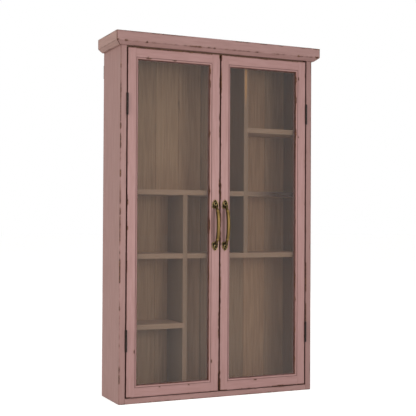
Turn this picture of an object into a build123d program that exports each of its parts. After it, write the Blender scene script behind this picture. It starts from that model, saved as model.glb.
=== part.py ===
from build123d import *
import os
from math import acos, cos, pi, sin

# Pink painted display cabinet with two glazed doors.
# Millimetres. Pieces are drawn from the front left lower corner of the carcass: +X runs to the
# right along the front, +Y to the back and +Z up. Each finished piece is then placed so that the
# origin is the middle of the carcass's underside.

# Carcass
carcass_width = 615.0
carcass_depth = 150.0
door_opening_top = 1000.0
side_thickness = 18.0
bottom_board_thickness = 16.0
top_board_thickness = 18.0
front_arris_radius = 1.2

# Cornice moulding around the front and both sides
cornice_height = 38.0
cornice_projection = 18.5
cornice_chamfer_height = 10.0
cornice_foot = 6.0
cornice_arris_radius = 0.9

# Header rail behind the door tops
header_height = 35.0
header_thickness = 18.0

# Back of tongued and grooved boards
back_board_count = 8
back_board_thickness = 10.0
back_rabbet_width = 6.0
tongue_length = 4.0
tongue_thickness = 3.0
tongue_clearance = 0.2
board_joint_gap = 0.4
board_joint_bevel = 1.2

# Shelves and dividers, given by the spaces between them
shelf_clearance = 4.0
shelf_thickness = 14.5
divider_thickness = 14.0
housing_depth = 4.0
low_left_space = 186.0
middle_space = 168.5
right_space = 175.5
left_bay_width = 182.0
right_bay_width = 187.0
shelf_arris_radius = 0.8

# Doors
door_thickness = 18.0
meeting_gap = 3.0
door_top_gap = 3.0
door_bottom_gap = 2.0
stile_flat = 25.0
top_rail_flat = 26.5
bottom_rail_flat = 26.0
door_arris_radius = 1.2
tenon_length = 16.0
tenon_thickness = 6.0
tenon_setback = 5.0
tenon_shoulder = 4.0
tenon_clearance = 0.1

# Moulded inner edge of the door frames
moulding_width = 7.5
quirk_width = 1.0
quirk_depth = 1.5
bead_top_depth = 0.6
bead_lip = 1.6
bead_bulge = 0.9

# Glass and the strips that hold it
glass_depth = 7.0
glass_thickness = 3.0
glass_overlap = 5.0
glass_clearance = 0.6
glazing_strip_thickness = 6.0
glazing_strip_end_gap = 0.05

# Butt hinges, placed from the ends of the doors
hinge_length = 59.0
upper_hinge_drop = 160.0
lower_hinge_rise = 158.5
knuckle_count = 5
knuckle_radius = 3.0
knuckle_sink = 0.2
knuckle_end_gap = 0.3
pin_radius = 1.4
pin_clearance = 0.05
pin_head_overhang = 1.0
pin_head_height = 1.2
pin_head_rounding = 0.7
leaf_thickness = 1.5
leaf_play = 0.5
leaf_reach = 15.5
leaf_knuckle_gap = 0.35
leaf_screw_count = 3
leaf_screw_end = 9.5
leaf_screw_inset = 6.2

# Screws
screw_head_radius = 2.7
screw_shank_radius = 1.3
screw_slot_width = 0.8
screw_slot_depth = 0.6
screw_clearance = 0.05
hinge_screw_length = 12.0
catch_screw_length = 18.0
hanger_screw_length = 16.0
strike_screw_length = 6.0
pull_screw_length = 16.0

# Magnetic catch under the header rail, and its strike plates
magnet_length = 12.0
magnet_depth = 8.0
magnet_height = 6.0
magnet_spacing = 28.0
magnet_proud = 0.8
magnet_clearance = 0.05
catch_gap = 0.3
catch_wall = 3.0
catch_back_depth = 10.8
catch_screw_end = 8.0
catch_screw_inset = 4.5
strike_margin = 3.0
strike_thickness = 1.2

# Hanger plates on the back edges of the sides
hanger_width = 12.0
hanger_height = 40.0
hanger_thickness = 2.0
hanger_drop = 75.0
hanger_corner_radius = 2.0
hanger_entry_radius = 4.0
hanger_slot_width = 4.0
hanger_slot_rise = 9.0
hanger_screw_end = 4.5
hanger_recess_depth = 8.0

# Bow pulls
pull_centre_height = 499.0
pull_inset = 14.5
pull_screw_spacing = 125.0
pull_tip_reach = 12.6
pull_root_reach = 15.0
pull_plate_half_width = 10.4
pull_plate_thickness = 1.5
pull_rim_width = 1.4
pull_field_rise = 0.8
pull_boss_radius = 4.6
pull_boss_height = 3.4
pull_recess_radius = 3.2
pull_recess_depth = 1.6
bow_foot_inset = 8.5
bow_reach = 26.0
bow_foot_radius = 3.8
bow_neck_radius = 3.0
bow_grip_radius = 4.9
bow_section_count = 17
collar_half_spacing = 24.0
collar_step = 0.7
collar_length = 2.6

# Places that follow from the sizes above
centre_x = carcass_width / 2
centre_plane = Plane.YZ.offset(centre_x)
cabinet_top = door_opening_top + cornice_height
side_top = cabinet_top - top_board_thickness
back_face = carcass_depth - back_board_thickness
shelf_setback = door_thickness + shelf_clearance
shelf_middle = (shelf_setback + back_face) / 2
inner_left = side_thickness
inner_right = carcass_width - side_thickness
header_underside = side_top - header_height

short_left_shelf_underside = bottom_board_thickness + low_left_space
lower_shelf_underside = short_left_shelf_underside + shelf_thickness + low_left_space
upper_shelf_underside = lower_shelf_underside + shelf_thickness + middle_space
short_right_shelf_underside = upper_shelf_underside + shelf_thickness + right_space
left_divider_x = inner_left + left_bay_width
right_divider_x = inner_right - right_bay_width - divider_thickness

hinge_gap = 2 * leaf_thickness + leaf_play
door_left = inner_left + hinge_gap
door_right = centre_x - meeting_gap / 2
door_bottom = bottom_board_thickness + door_bottom_gap
door_top = door_opening_top - door_top_gap
quirk_left = door_left + stile_flat
quirk_right = door_right - stile_flat
quirk_bottom = door_bottom + bottom_rail_flat
quirk_top = door_top - top_rail_flat
sight_left = quirk_left + moulding_width
sight_right = quirk_right - moulding_width
sight_bottom = quirk_bottom + moulding_width
sight_top = quirk_top - moulding_width
rebate_left = sight_left - glass_overlap
rebate_right = sight_right + glass_overlap
rebate_bottom = sight_bottom - glass_overlap
rebate_top = sight_top + glass_overlap
strip_front = glass_depth + glass_thickness

hinge_x = inner_left + hinge_gap / 2
hinge_y = knuckle_sink - knuckle_radius
hinge_bottoms = [
    door_top - upper_hinge_drop - hinge_length / 2,
    door_bottom + lower_hinge_rise - hinge_length / 2,
]
knuckle_length = hinge_length / knuckle_count
pin_head_radius = pin_radius + pin_head_overhang
leaf_screw_y = leaf_reach - leaf_screw_inset
leaf_screw_spacing = (hinge_length - 2 * leaf_screw_end) / (leaf_screw_count - 1)
leaf_screw_heights = [
    bottom + leaf_screw_end + i * leaf_screw_spacing
    for bottom in hinge_bottoms
    for i in range(leaf_screw_count)
]

catch_length = magnet_spacing + magnet_length + 2 * catch_wall
catch_height = magnet_height + 2 * catch_wall
catch_depth = magnet_depth - magnet_proud + catch_back_depth
strike_length = magnet_length + 2 * strike_margin
strike_height = magnet_height + 2 * strike_margin
strike_centre_x = centre_x - magnet_spacing / 2
strike_back = door_thickness + strike_thickness
magnet_front = strike_back + catch_gap
catch_front = magnet_front + magnet_proud
catch_centre_z = header_underside - catch_height / 2
catch_screw_y = catch_front + catch_depth - catch_screw_inset
catch_screw_reach = catch_length / 2 - catch_screw_end

hanger_x = (side_thickness - back_rabbet_width) / 2
hanger_centre_height = side_top - hanger_drop
hanger_screw_reach = hanger_height / 2 - hanger_screw_end
pull_x = door_right - pull_inset
pull_screw_heights = [
    pull_centre_height - pull_screw_spacing / 2,
    pull_centre_height + pull_screw_spacing / 2,
]

os.makedirs("parts", exist_ok=True)


def keep(piece, node):
    """Place a finished piece about the middle of the underside, name it and write its file."""
    placed = piece.moved(Location((-carcass_width / 2, -carcass_depth / 2, 0)))
    placed.label = node
    export_step(placed, f"parts/{node}.step")


def screw(length, allowance=0.0):
    """A countersunk screw, head up at the origin, or with an allowance the hole that takes it."""
    head = screw_head_radius + allowance
    shank = screw_shank_radius + allowance
    tip = length + allowance
    with BuildPart() as fastener:
        with BuildSketch(Plane.XZ):
            with BuildLine():
                Polyline(
                    (0, 0),
                    (head, 0),
                    (shank, -(screw_head_radius - screw_shank_radius)),
                    (shank, -tip + shank),
                    (0, -tip),
                    close=True,
                )
            make_face()
        revolve(axis=Axis.Z)
        if allowance == 0.0:
            with Locations((0, 0, 0)):
                Box(
                    2 * head + 1,
                    screw_slot_width,
                    2 * screw_slot_depth,
                    mode=Mode.SUBTRACT,
                )
    return fastener.part


# Each direction names the way that a screw's head faces
facing_right = (0, 90, 0)
facing_left = (0, -90, 0)
facing_back = (-90, 0, 0)
facing_front = (90, 0, 0)
facing_down = (180, 0, 0)

carcass_leaf_screws = [
    Location((inner_left + leaf_thickness, leaf_screw_y, z), facing_right)
    for z in leaf_screw_heights
]
door_leaf_screws = [
    Location((door_left - leaf_thickness, leaf_screw_y, z), facing_left)
    for z in leaf_screw_heights
]
hanger_screws = [
    Location((hanger_x, carcass_depth + hanger_thickness, z), facing_back)
    for z in (hanger_centre_height - hanger_screw_reach, hanger_centre_height + hanger_screw_reach)
]
catch_screws = [
    Location((x, catch_screw_y, header_underside - catch_height), facing_down)
    for x in (centre_x - catch_screw_reach, centre_x + catch_screw_reach)
]
strike_screw = [Location((strike_centre_x, strike_back, catch_centre_z), facing_back)]
pull_screws = [
    Location((pull_x, pull_recess_depth - pull_boss_height, z), facing_front)
    for z in pull_screw_heights
]


# Side panels: full height, rabbeted at the back for the boards, housed for the shelves
def side_panel(node, housings, mirrored):
    with BuildPart() as panel:
        with BuildSketch(Plane.XY) as plan:
            with BuildLine():
                Polyline(
                    (0, 0),
                    (side_thickness, 0),
                    (side_thickness, back_face),
                    (side_thickness - back_rabbet_width, back_face),
                    (side_thickness - back_rabbet_width, carcass_depth),
                    (0, carcass_depth),
                    close=True,
                )
            make_face()
            fillet(plan.vertices().group_by(Axis.Y)[0], radius=front_arris_radius)
        extrude(amount=side_top)
        for underside in housings:
            with BuildSketch(Plane.XY.offset(underside)):
                with Locations((side_thickness - housing_depth, shelf_setback)):
                    Rectangle(
                        housing_depth,
                        back_face - shelf_setback,
                        align=(Align.MIN, Align.MIN),
                    )
            extrude(amount=shelf_thickness, mode=Mode.SUBTRACT)
        with Locations(*carcass_leaf_screws):
            add(screw(hinge_screw_length, screw_clearance), mode=Mode.SUBTRACT)
        with Locations(*hanger_screws):
            add(screw(hanger_screw_length, screw_clearance), mode=Mode.SUBTRACT)
        with BuildSketch(Plane.XZ.offset(-carcass_depth)):
            with Locations((hanger_x, hanger_centre_height)):
                SlotCenterToCenter(
                    hanger_slot_rise,
                    2 * (hanger_entry_radius + screw_clearance),
                    rotation=90,
                )
        extrude(amount=hanger_recess_depth, mode=Mode.SUBTRACT)
        if mirrored:
            mirror(about=centre_plane, mode=Mode.REPLACE)
    keep(panel.part, node)


side_panel(
    "left_side_panel",
    (upper_shelf_underside, lower_shelf_underside, short_left_shelf_underside),
    mirrored=False,
)
side_panel(
    "right_side_panel",
    (upper_shelf_underside, lower_shelf_underside, short_right_shelf_underside),
    mirrored=True,
)

# Bottom board: between the sides, its front edge shows below the doors
with BuildPart() as bottom_board:
    with BuildSketch(Plane.YZ.offset(inner_left)) as section:
        Rectangle(back_face, bottom_board_thickness, align=(Align.MIN, Align.MIN))
        fillet(section.vertices().group_by(Axis.Y)[0], radius=front_arris_radius)
    extrude(amount=inner_right - inner_left)
keep(bottom_board.part, "bottom_board")

# Top board: lies on the sides, inside the cornice and flush with its top
with BuildPart() as top_board:
    with BuildSketch(Plane.XY.offset(side_top)):
        Rectangle(carcass_width, carcass_depth, align=(Align.MIN, Align.MIN))
    extrude(amount=top_board_thickness)
keep(top_board.part, "top_board")

# Header rail: stiffens the carcass behind the door tops and carries the catch
with BuildPart() as header_rail:
    with BuildSketch(Plane.YZ.offset(inner_left)):
        with Locations((shelf_setback, header_underside)):
            Rectangle(header_thickness, header_height, align=(Align.MIN, Align.MIN))
    extrude(amount=inner_right - inner_left)
    with Locations(*catch_screws):
        add(screw(catch_screw_length, screw_clearance), mode=Mode.SUBTRACT)
keep(header_rail.part, "header_rail")


# Cornice: one moulding, mitred at the two front corners
def cornice_moulding(plane, length):
    """A length of moulding on a plane whose x runs outwards from the carcass and y up."""
    with BuildSketch(plane) as profile:
        with BuildLine():
            Polyline(
                (0, door_opening_top),
                (cornice_foot, door_opening_top),
                (cornice_projection, door_opening_top + cornice_chamfer_height),
                (cornice_projection, cabinet_top),
                (0, cabinet_top),
                close=True,
            )
        make_face()
        rear_corners = profile.vertices().sort_by_distance((0, door_opening_top))[0:1]
        rear_corners += profile.vertices().sort_by_distance((0, cabinet_top))[0:1]
        fillet(profile.vertices() - rear_corners, radius=cornice_arris_radius)
    extrude(profile.sketch, amount=length)


front_mitre_left = Plane(origin=(0, 0, 0), z_dir=(1, -1, 0))
front_mitre_right = Plane(origin=(carcass_width, 0, 0), z_dir=(-1, -1, 0))
front_moulding_plane = Plane(
    origin=(carcass_width + cornice_projection, 0, 0), x_dir=(0, -1, 0), z_dir=(-1, 0, 0)
)
left_moulding_plane = Plane(
    origin=(0, -cornice_projection, 0), x_dir=(-1, 0, 0), z_dir=(0, 1, 0)
)

with BuildPart() as cornice_front:
    cornice_moulding(front_moulding_plane, carcass_width + 2 * cornice_projection)
    split(bisect_by=front_mitre_left, keep=Keep.TOP)
    split(bisect_by=front_mitre_right, keep=Keep.TOP)
keep(cornice_front.part, "cornice_front")

with BuildPart() as cornice_left:
    cornice_moulding(left_moulding_plane, carcass_depth + cornice_projection)
    split(bisect_by=front_mitre_left, keep=Keep.BOTTOM)
keep(cornice_left.part, "cornice_left")

with BuildPart() as cornice_right:
    mirror(cornice_left.part, about=centre_plane)
keep(cornice_right.part, "cornice_right")

# Back boards: tongue at the right edge, groove at the left, bevelled joints towards the room
back_left = side_thickness - back_rabbet_width
back_board_pitch = (carcass_width - 2 * back_left) / back_board_count
tongue_front = back_face + (back_board_thickness - tongue_thickness) / 2
groove_thickness = tongue_thickness + 2 * tongue_clearance
groove_depth = tongue_length + tongue_clearance

for i in range(back_board_count):
    first = i == 0
    last = i == back_board_count - 1
    board_left = back_left + i * back_board_pitch + (0 if first else board_joint_gap / 2)
    board_right = back_left + (i + 1) * back_board_pitch - (0 if last else board_joint_gap / 2)
    with BuildPart() as back_board:
        with BuildSketch(Plane.XY) as plan:
            with Locations((board_left, back_face)):
                Rectangle(
                    board_right - board_left,
                    back_board_thickness,
                    align=(Align.MIN, Align.MIN),
                )
            front_corners = plan.vertices().group_by(Axis.Y)[0].sort_by(Axis.X)
            if not first:
                chamfer(front_corners[0], length=board_joint_bevel)
            front_corners = plan.vertices().group_by(Axis.Y)[0].sort_by(Axis.X)
            if not last:
                chamfer(front_corners[-1], length=board_joint_bevel)
                with Locations((board_right, tongue_front)):
                    Rectangle(tongue_length, tongue_thickness, align=(Align.MIN, Align.MIN))
            if not first:
                with Locations((board_left, tongue_front - tongue_clearance)):
                    Rectangle(
                        groove_depth,
                        groove_thickness,
                        align=(Align.MIN, Align.MIN),
                        mode=Mode.SUBTRACT,
                    )
        extrude(amount=side_top)
    keep(back_board.part, f"back_board_{i + 1}")


# Shelves and dividers: rounded front edges, halved together where they cross
def shelf(node, left, right, underside, crossing_divider=None):
    with BuildPart() as board:
        with BuildSketch(Plane.YZ.offset(left)) as section:
            with Locations((shelf_setback, underside)):
                Rectangle(
                    back_face - shelf_setback,
                    shelf_thickness,
                    align=(Align.MIN, Align.MIN),
                )
            fillet(section.vertices().group_by(Axis.Y)[0], radius=shelf_arris_radius)
        extrude(amount=right - left)
        if crossing_divider is not None:
            with BuildSketch(Plane.XY.offset(underside)):
                with Locations((crossing_divider, shelf_setback)):
                    Rectangle(
                        divider_thickness,
                        shelf_middle - shelf_setback,
                        align=(Align.MIN, Align.MIN),
                    )
            extrude(amount=shelf_thickness, mode=Mode.SUBTRACT)
    keep(board.part, node)


def divider_block(left, bottom, top):
    """An upright board with rounded front edges, before its joints are cut."""
    with BuildPart() as block:
        with BuildSketch(Plane.XY.offset(bottom)) as plan:
            with Locations((left, shelf_setback)):
                Rectangle(
                    divider_thickness,
                    back_face - shelf_setback,
                    align=(Align.MIN, Align.MIN),
                )
            fillet(plan.vertices().group_by(Axis.Y)[0], radius=shelf_arris_radius)
        extrude(amount=top - bottom)
    return block.part


def joint_cut(left, front, width, depth, underside, height):
    """The space that a crossing or housed board takes out of an upright board."""
    with BuildPart() as space:
        with BuildSketch(Plane.XY.offset(underside)):
            with Locations((left, front)):
                Rectangle(width, depth, align=(Align.MIN, Align.MIN))
        extrude(amount=height)
    return space.part


shelf_left_end = inner_left - housing_depth
shelf_right_end = inner_right + housing_depth
lower_shelf_top = lower_shelf_underside + shelf_thickness
short_left_shelf_end = left_divider_x + housing_depth
short_right_shelf_end = right_divider_x + divider_thickness - housing_depth

shelf(
    "shelf_upper",
    shelf_left_end,
    shelf_right_end,
    upper_shelf_underside,
    crossing_divider=right_divider_x,
)
shelf(
    "shelf_lower",
    shelf_left_end,
    shelf_right_end,
    lower_shelf_underside,
    crossing_divider=left_divider_x,
)
shelf("shelf_short_left", shelf_left_end, short_left_shelf_end, short_left_shelf_underside)
shelf("shelf_short_right", short_right_shelf_end, shelf_right_end, short_right_shelf_underside)

with BuildPart() as divider_left:
    add(divider_block(left_divider_x, bottom_board_thickness, upper_shelf_underside))
    add(
        joint_cut(
            left_divider_x,
            shelf_middle,
            divider_thickness,
            back_face - shelf_middle,
            lower_shelf_underside,
            shelf_thickness,
        ),
        mode=Mode.SUBTRACT,
    )
    add(
        joint_cut(
            left_divider_x,
            shelf_setback,
            housing_depth,
            back_face - shelf_setback,
            short_left_shelf_underside,
            shelf_thickness,
        ),
        mode=Mode.SUBTRACT,
    )
keep(divider_left.part, "divider_left")

with BuildPart() as divider_right:
    add(divider_block(right_divider_x, lower_shelf_top, side_top))
    add(
        joint_cut(
            right_divider_x,
            shelf_middle,
            divider_thickness,
            back_face - shelf_middle,
            upper_shelf_underside,
            shelf_thickness,
        ),
        mode=Mode.SUBTRACT,
    )
    add(
        joint_cut(
            short_right_shelf_end,
            shelf_setback,
            housing_depth,
            back_face - shelf_setback,
            short_right_shelf_underside,
            shelf_thickness,
        ),
        mode=Mode.SUBTRACT,
    )
    add(
        joint_cut(
            right_divider_x,
            shelf_setback,
            divider_thickness,
            header_thickness,
            header_underside,
            header_height,
        ),
        mode=Mode.SUBTRACT,
    )
keep(divider_right.part, "divider_right")


# Doors: the left one is drawn, the right one is its mirror image
def moulded_edge(inner_edge):
    """Outline of a frame member's section, from its outer edge at 0 to the sight edge.

    The first coordinate runs across the member and the second back from the door's face.
    """
    sight_edge = inner_edge + moulding_width
    rebate_edge = sight_edge - glass_overlap
    bead_start = inner_edge + quirk_width
    bead_edge_depth = glass_depth - bead_lip
    bead_middle = (bead_start + sight_edge) / 2 + bead_bulge
    bead_middle_depth = (bead_top_depth + bead_edge_depth) / 2 - bead_bulge
    Polyline(
        (sight_edge, bead_edge_depth),
        (sight_edge, glass_depth),
        (rebate_edge, glass_depth),
        (rebate_edge, door_thickness),
        (0, door_thickness),
        (0, 0),
        (inner_edge, 0),
        (inner_edge, quirk_depth),
        (bead_start, quirk_depth),
        (bead_start, bead_top_depth),
    )
    ThreePointArc(
        (bead_start, bead_top_depth),
        (bead_middle, bead_middle_depth),
        (sight_edge, bead_edge_depth),
    )


def member(plane, flat, length):
    """A door frame member with its moulding and rebate, before its ends are cut."""
    with BuildPart() as stick:
        with BuildSketch(plane) as section:
            with BuildLine():
                moulded_edge(flat)
            make_face()
            fillet(
                section.vertices().sort_by_distance(plane.origin)[0],
                radius=door_arris_radius,
            )
        extrude(amount=length)
    return stick.part


def front_cut(points):
    """The waste outside an outline given in the door's front view."""
    with BuildPart() as waste:
        with BuildSketch(Plane.XZ):
            with BuildLine():
                Polyline(*points, close=True)
            make_face()
        extrude(amount=-door_thickness)
    return waste.part


def tenon_block(left, outer, inner, allowance):
    """A rail's tenon, or with an allowance the mortise for it, between two heights."""
    low, high = sorted((outer, inner))
    with BuildPart() as block:
        with BuildSketch(Plane.XY.offset(low + tenon_shoulder - allowance)):
            with Locations((left - allowance, tenon_setback - allowance)):
                Rectangle(
                    tenon_length + 2 * allowance,
                    tenon_thickness + 2 * allowance,
                    align=(Align.MIN, Align.MIN),
                )
        extrude(amount=high - low - 2 * tenon_shoulder + 2 * allowance)
    return block.part


stile_plane = Plane(origin=(door_left, 0, door_bottom), x_dir=(1, 0, 0), z_dir=(0, 0, 1))
meeting_plane = Plane(origin=(door_right, 0, door_bottom), x_dir=(-1, 0, 0), z_dir=(0, 0, -1))
top_rail_plane = Plane(origin=(quirk_left, 0, door_top), x_dir=(0, 0, -1), z_dir=(1, 0, 0))
bottom_rail_plane = Plane(origin=(quirk_left, 0, door_bottom), x_dir=(0, 0, 1), z_dir=(-1, 0, 0))
door_height = door_top - door_bottom
rail_length = quirk_right - quirk_left

# Waste beyond the mitres: the same lines cut the stiles' ends and the rails' ends. It reaches
# past the sight edges by the moulding's own width.
past_edge = 2 * moulding_width
hinge_stile_waste = (
    front_cut(
        [
            (quirk_left, quirk_top),
            (quirk_left + past_edge, quirk_top - past_edge),
            (quirk_left + past_edge, door_top),
            (quirk_left, door_top),
        ]
    ),
    front_cut(
        [
            (quirk_left, quirk_bottom),
            (quirk_left + past_edge, quirk_bottom + past_edge),
            (quirk_left + past_edge, door_bottom),
            (quirk_left, door_bottom),
        ]
    ),
)
meeting_stile_waste = (
    front_cut(
        [
            (quirk_right, quirk_top),
            (quirk_right - past_edge, quirk_top - past_edge),
            (quirk_right - past_edge, door_top),
            (quirk_right, door_top),
        ]
    ),
    front_cut(
        [
            (quirk_right, quirk_bottom),
            (quirk_right - past_edge, quirk_bottom + past_edge),
            (quirk_right - past_edge, door_bottom),
            (quirk_right, door_bottom),
        ]
    ),
)
top_rail_waste = (
    front_cut(
        [
            (quirk_left, quirk_top),
            (quirk_left + past_edge, quirk_top - past_edge),
            (quirk_left, quirk_top - past_edge),
        ]
    ),
    front_cut(
        [
            (quirk_right, quirk_top),
            (quirk_right - past_edge, quirk_top - past_edge),
            (quirk_right, quirk_top - past_edge),
        ]
    ),
)
bottom_rail_waste = (
    front_cut(
        [
            (quirk_left, quirk_bottom),
            (quirk_left + past_edge, quirk_bottom + past_edge),
            (quirk_left, quirk_bottom + past_edge),
        ]
    ),
    front_cut(
        [
            (quirk_right, quirk_bottom),
            (quirk_right - past_edge, quirk_bottom + past_edge),
            (quirk_right, quirk_bottom + past_edge),
        ]
    ),
)

with BuildPart() as hinge_stile:
    add(member(stile_plane, stile_flat, door_height))
    add(hinge_stile_waste, mode=Mode.SUBTRACT)
    tenon_left = quirk_left - tenon_length
    add(tenon_block(tenon_left, door_top, quirk_top, tenon_clearance), mode=Mode.SUBTRACT)
    add(tenon_block(tenon_left, door_bottom, quirk_bottom, tenon_clearance), mode=Mode.SUBTRACT)
    with Locations(*door_leaf_screws):
        add(screw(hinge_screw_length, screw_clearance), mode=Mode.SUBTRACT)

with BuildPart() as meeting_stile:
    add(member(meeting_plane, stile_flat, -door_height))
    add(meeting_stile_waste, mode=Mode.SUBTRACT)
    add(tenon_block(quirk_right, door_top, quirk_top, tenon_clearance), mode=Mode.SUBTRACT)
    add(tenon_block(quirk_right, door_bottom, quirk_bottom, tenon_clearance), mode=Mode.SUBTRACT)
    with Locations(*strike_screw):
        add(screw(strike_screw_length, screw_clearance), mode=Mode.SUBTRACT)
    with Locations(*pull_screws):
        add(screw(pull_screw_length, screw_clearance), mode=Mode.SUBTRACT)

with BuildPart() as top_rail:
    add(member(top_rail_plane, top_rail_flat, rail_length))
    add(top_rail_waste, mode=Mode.SUBTRACT)
    add(tenon_block(quirk_left - tenon_length, door_top, quirk_top, 0))
    add(tenon_block(quirk_right, door_top, quirk_top, 0))
    with Locations(*strike_screw):
        add(screw(strike_screw_length, screw_clearance), mode=Mode.SUBTRACT)

with BuildPart() as bottom_rail:
    add(member(bottom_rail_plane, bottom_rail_flat, -rail_length))
    add(bottom_rail_waste, mode=Mode.SUBTRACT)
    add(tenon_block(quirk_left - tenon_length, door_bottom, quirk_bottom, 0))
    add(tenon_block(quirk_right, door_bottom, quirk_bottom, 0))

# Pane of glass, bedded in the rebate
with BuildPart() as glass:
    with BuildSketch(Plane.XZ.offset(-glass_depth)):
        with Locations((rebate_left + glass_clearance, rebate_bottom + glass_clearance)):
            Rectangle(
                rebate_right - rebate_left - 2 * glass_clearance,
                rebate_top - rebate_bottom - 2 * glass_clearance,
                align=(Align.MIN, Align.MIN),
            )
    extrude(amount=-glass_thickness)


def glazing_strip(left, bottom, width, height):
    """One strip behind the glass."""
    with BuildSketch(Plane.XZ.offset(-strip_front)) as face:
        with Locations((left, bottom)):
            Rectangle(width, height, align=(Align.MIN, Align.MIN))
    extrude(face.sketch, amount=-glazing_strip_thickness)


# Glazing strips: uprights for the full height, the other two between them
across_left = sight_left + glazing_strip_end_gap
across_length = sight_right - sight_left - 2 * glazing_strip_end_gap
with BuildPart() as glazing_strips:
    glazing_strip(rebate_left, rebate_bottom, glass_overlap, rebate_top - rebate_bottom)
    glazing_strip(sight_right, rebate_bottom, glass_overlap, rebate_top - rebate_bottom)
    glazing_strip(across_left, rebate_bottom, across_length, glass_overlap)
    glazing_strip(across_left, sight_top, across_length, glass_overlap)

# Bow pull: one casting, a bowed grip between two leaf-shaped plates. Each lobe of a plate's edge
# is an arc through three points, as shares of the half width and of the reach to tip or root.
plate_lobes = (
    ((0, 1), (0.52, 0.64), (0.86, 0.1)),
    ((0.86, 0.1), (0.92, -0.12), (0.82, -0.34)),
    ((0.82, -0.34), (1, -0.62), (0.7, -0.88)),
    ((0.7, -0.88), (0.38, -0.97), (0, -1)),
)


def pull_plate(screw_height, direction, height=0.0, inset=0.0):
    """A plate's outline about its screw; direction is 1 when the tip points up."""

    def place(across, along):
        reach = pull_tip_reach if along > 0 else pull_root_reach
        x = pull_x + across * pull_plate_half_width
        return (x, screw_height + direction * along * reach)

    with BuildSketch(Plane.XZ.offset(height)) as outline:
        with BuildLine():
            for side in (1, -1):
                for lobe in plate_lobes:
                    ThreePointArc(*[place(side * across, along) for across, along in lobe])
        make_face()
        if inset > 0:
            offset(amount=-inset, mode=Mode.REPLACE)
    return outline.sketch


bow_half_height = pull_screw_spacing / 2 - bow_foot_inset


def bow_plane(turn):
    """The plane square to the bow at a turn from 0 at the lower foot to pi at the upper."""
    return Plane(
        origin=(pull_x, -bow_reach * sin(turn), pull_centre_height - bow_half_height * cos(turn)),
        x_dir=(1, 0, 0),
        z_dir=(0, -bow_reach * cos(turn), bow_half_height * sin(turn)),
    )


def bow_radius(turn):
    """Flared at the feet, thin at the necks and thickest in the middle of the grip."""
    swell = (bow_grip_radius - bow_neck_radius) * sin(turn) ** 3
    flare = (bow_foot_radius - bow_neck_radius) * (1 - sin(turn)) ** 4
    return bow_neck_radius + swell + flare


collar_turn = acos(collar_half_spacing / bow_half_height)

with BuildPart() as pull_plates:
    for direction, screw_height in zip((-1, 1), pull_screw_heights):
        extrude(pull_plate(screw_height, direction), amount=pull_plate_thickness)
        field = pull_plate(screw_height, direction, pull_plate_thickness, pull_rim_width)
        extrude(field, amount=pull_field_rise)

with BuildPart() as pull:
    for i in range(bow_section_count):
        turn = pi * i / (bow_section_count - 1)
        with BuildSketch(bow_plane(turn)):
            Circle(bow_radius(turn))
    loft()
    for turn in (collar_turn, pi - collar_turn):
        with BuildSketch(bow_plane(turn)):
            Circle(bow_radius(turn) + collar_step)
        extrude(amount=collar_length / 2, both=True)
    add(pull_plates.part)
    with BuildSketch(Plane.XZ):
        with Locations(*[(pull_x, z) for z in pull_screw_heights]):
            Circle(pull_boss_radius)
    extrude(amount=pull_boss_height)
    with BuildSketch(Plane.XZ.offset(pull_boss_height - pull_recess_depth)):
        with Locations(*[(pull_x, z) for z in pull_screw_heights]):
            Circle(pull_recess_radius)
    extrude(amount=pull_recess_depth, mode=Mode.SUBTRACT)
    with Locations(*pull_screws):
        add(screw(pull_screw_length, screw_clearance), mode=Mode.SUBTRACT)

with BuildPart() as pull_screw_pair:
    with Locations(*pull_screws):
        add(screw(pull_screw_length))

# Strike plate and its screw, on the back of the meeting stile
with BuildPart() as strike_plate:
    with BuildSketch(Plane.XZ.offset(-door_thickness)):
        with Locations((strike_centre_x, catch_centre_z)):
            Rectangle(strike_length, strike_height)
    extrude(amount=-strike_thickness)
    with Locations(*strike_screw):
        add(screw(strike_screw_length, screw_clearance), mode=Mode.SUBTRACT)

with BuildPart() as strike_plate_screw:
    with Locations(*strike_screw):
        add(screw(strike_screw_length))


# Butt hinges: each leaf owns every other knuckle around one pin
def hinge_leaf(bottom, plate_left, own_knuckles, screws):
    with BuildPart() as leaf:
        with BuildSketch(Plane.XY.offset(bottom)):
            with Locations((plate_left, hinge_y)):
                Rectangle(leaf_thickness, leaf_reach - hinge_y, align=(Align.MIN, Align.MIN))
            with Locations((hinge_x, hinge_y)):
                Circle(knuckle_radius + leaf_knuckle_gap, mode=Mode.SUBTRACT)
        extrude(amount=hinge_length)
        for i in own_knuckles:
            low_gap = 0 if i == 0 else knuckle_end_gap / 2
            high_gap = 0 if i == knuckle_count - 1 else knuckle_end_gap / 2
            with BuildSketch(Plane.XY.offset(bottom + i * knuckle_length + low_gap)):
                with Locations((hinge_x, hinge_y)):
                    Circle(knuckle_radius)
                with Locations((plate_left, hinge_y)):
                    Rectangle(
                        leaf_thickness,
                        knuckle_radius + leaf_knuckle_gap,
                        align=(Align.MIN, Align.MIN),
                    )
                with Locations((hinge_x, hinge_y)):
                    Circle(pin_radius + pin_clearance, mode=Mode.SUBTRACT)
            extrude(amount=knuckle_length - low_gap - high_gap)
        with Locations(*screws):
            add(screw(hinge_screw_length, screw_clearance), mode=Mode.SUBTRACT)
    return leaf.part


def mirrored(piece):
    """The same piece on the other side of the cabinet."""
    with BuildPart() as twin:
        mirror(piece, about=centre_plane)
    return twin.part


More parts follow.
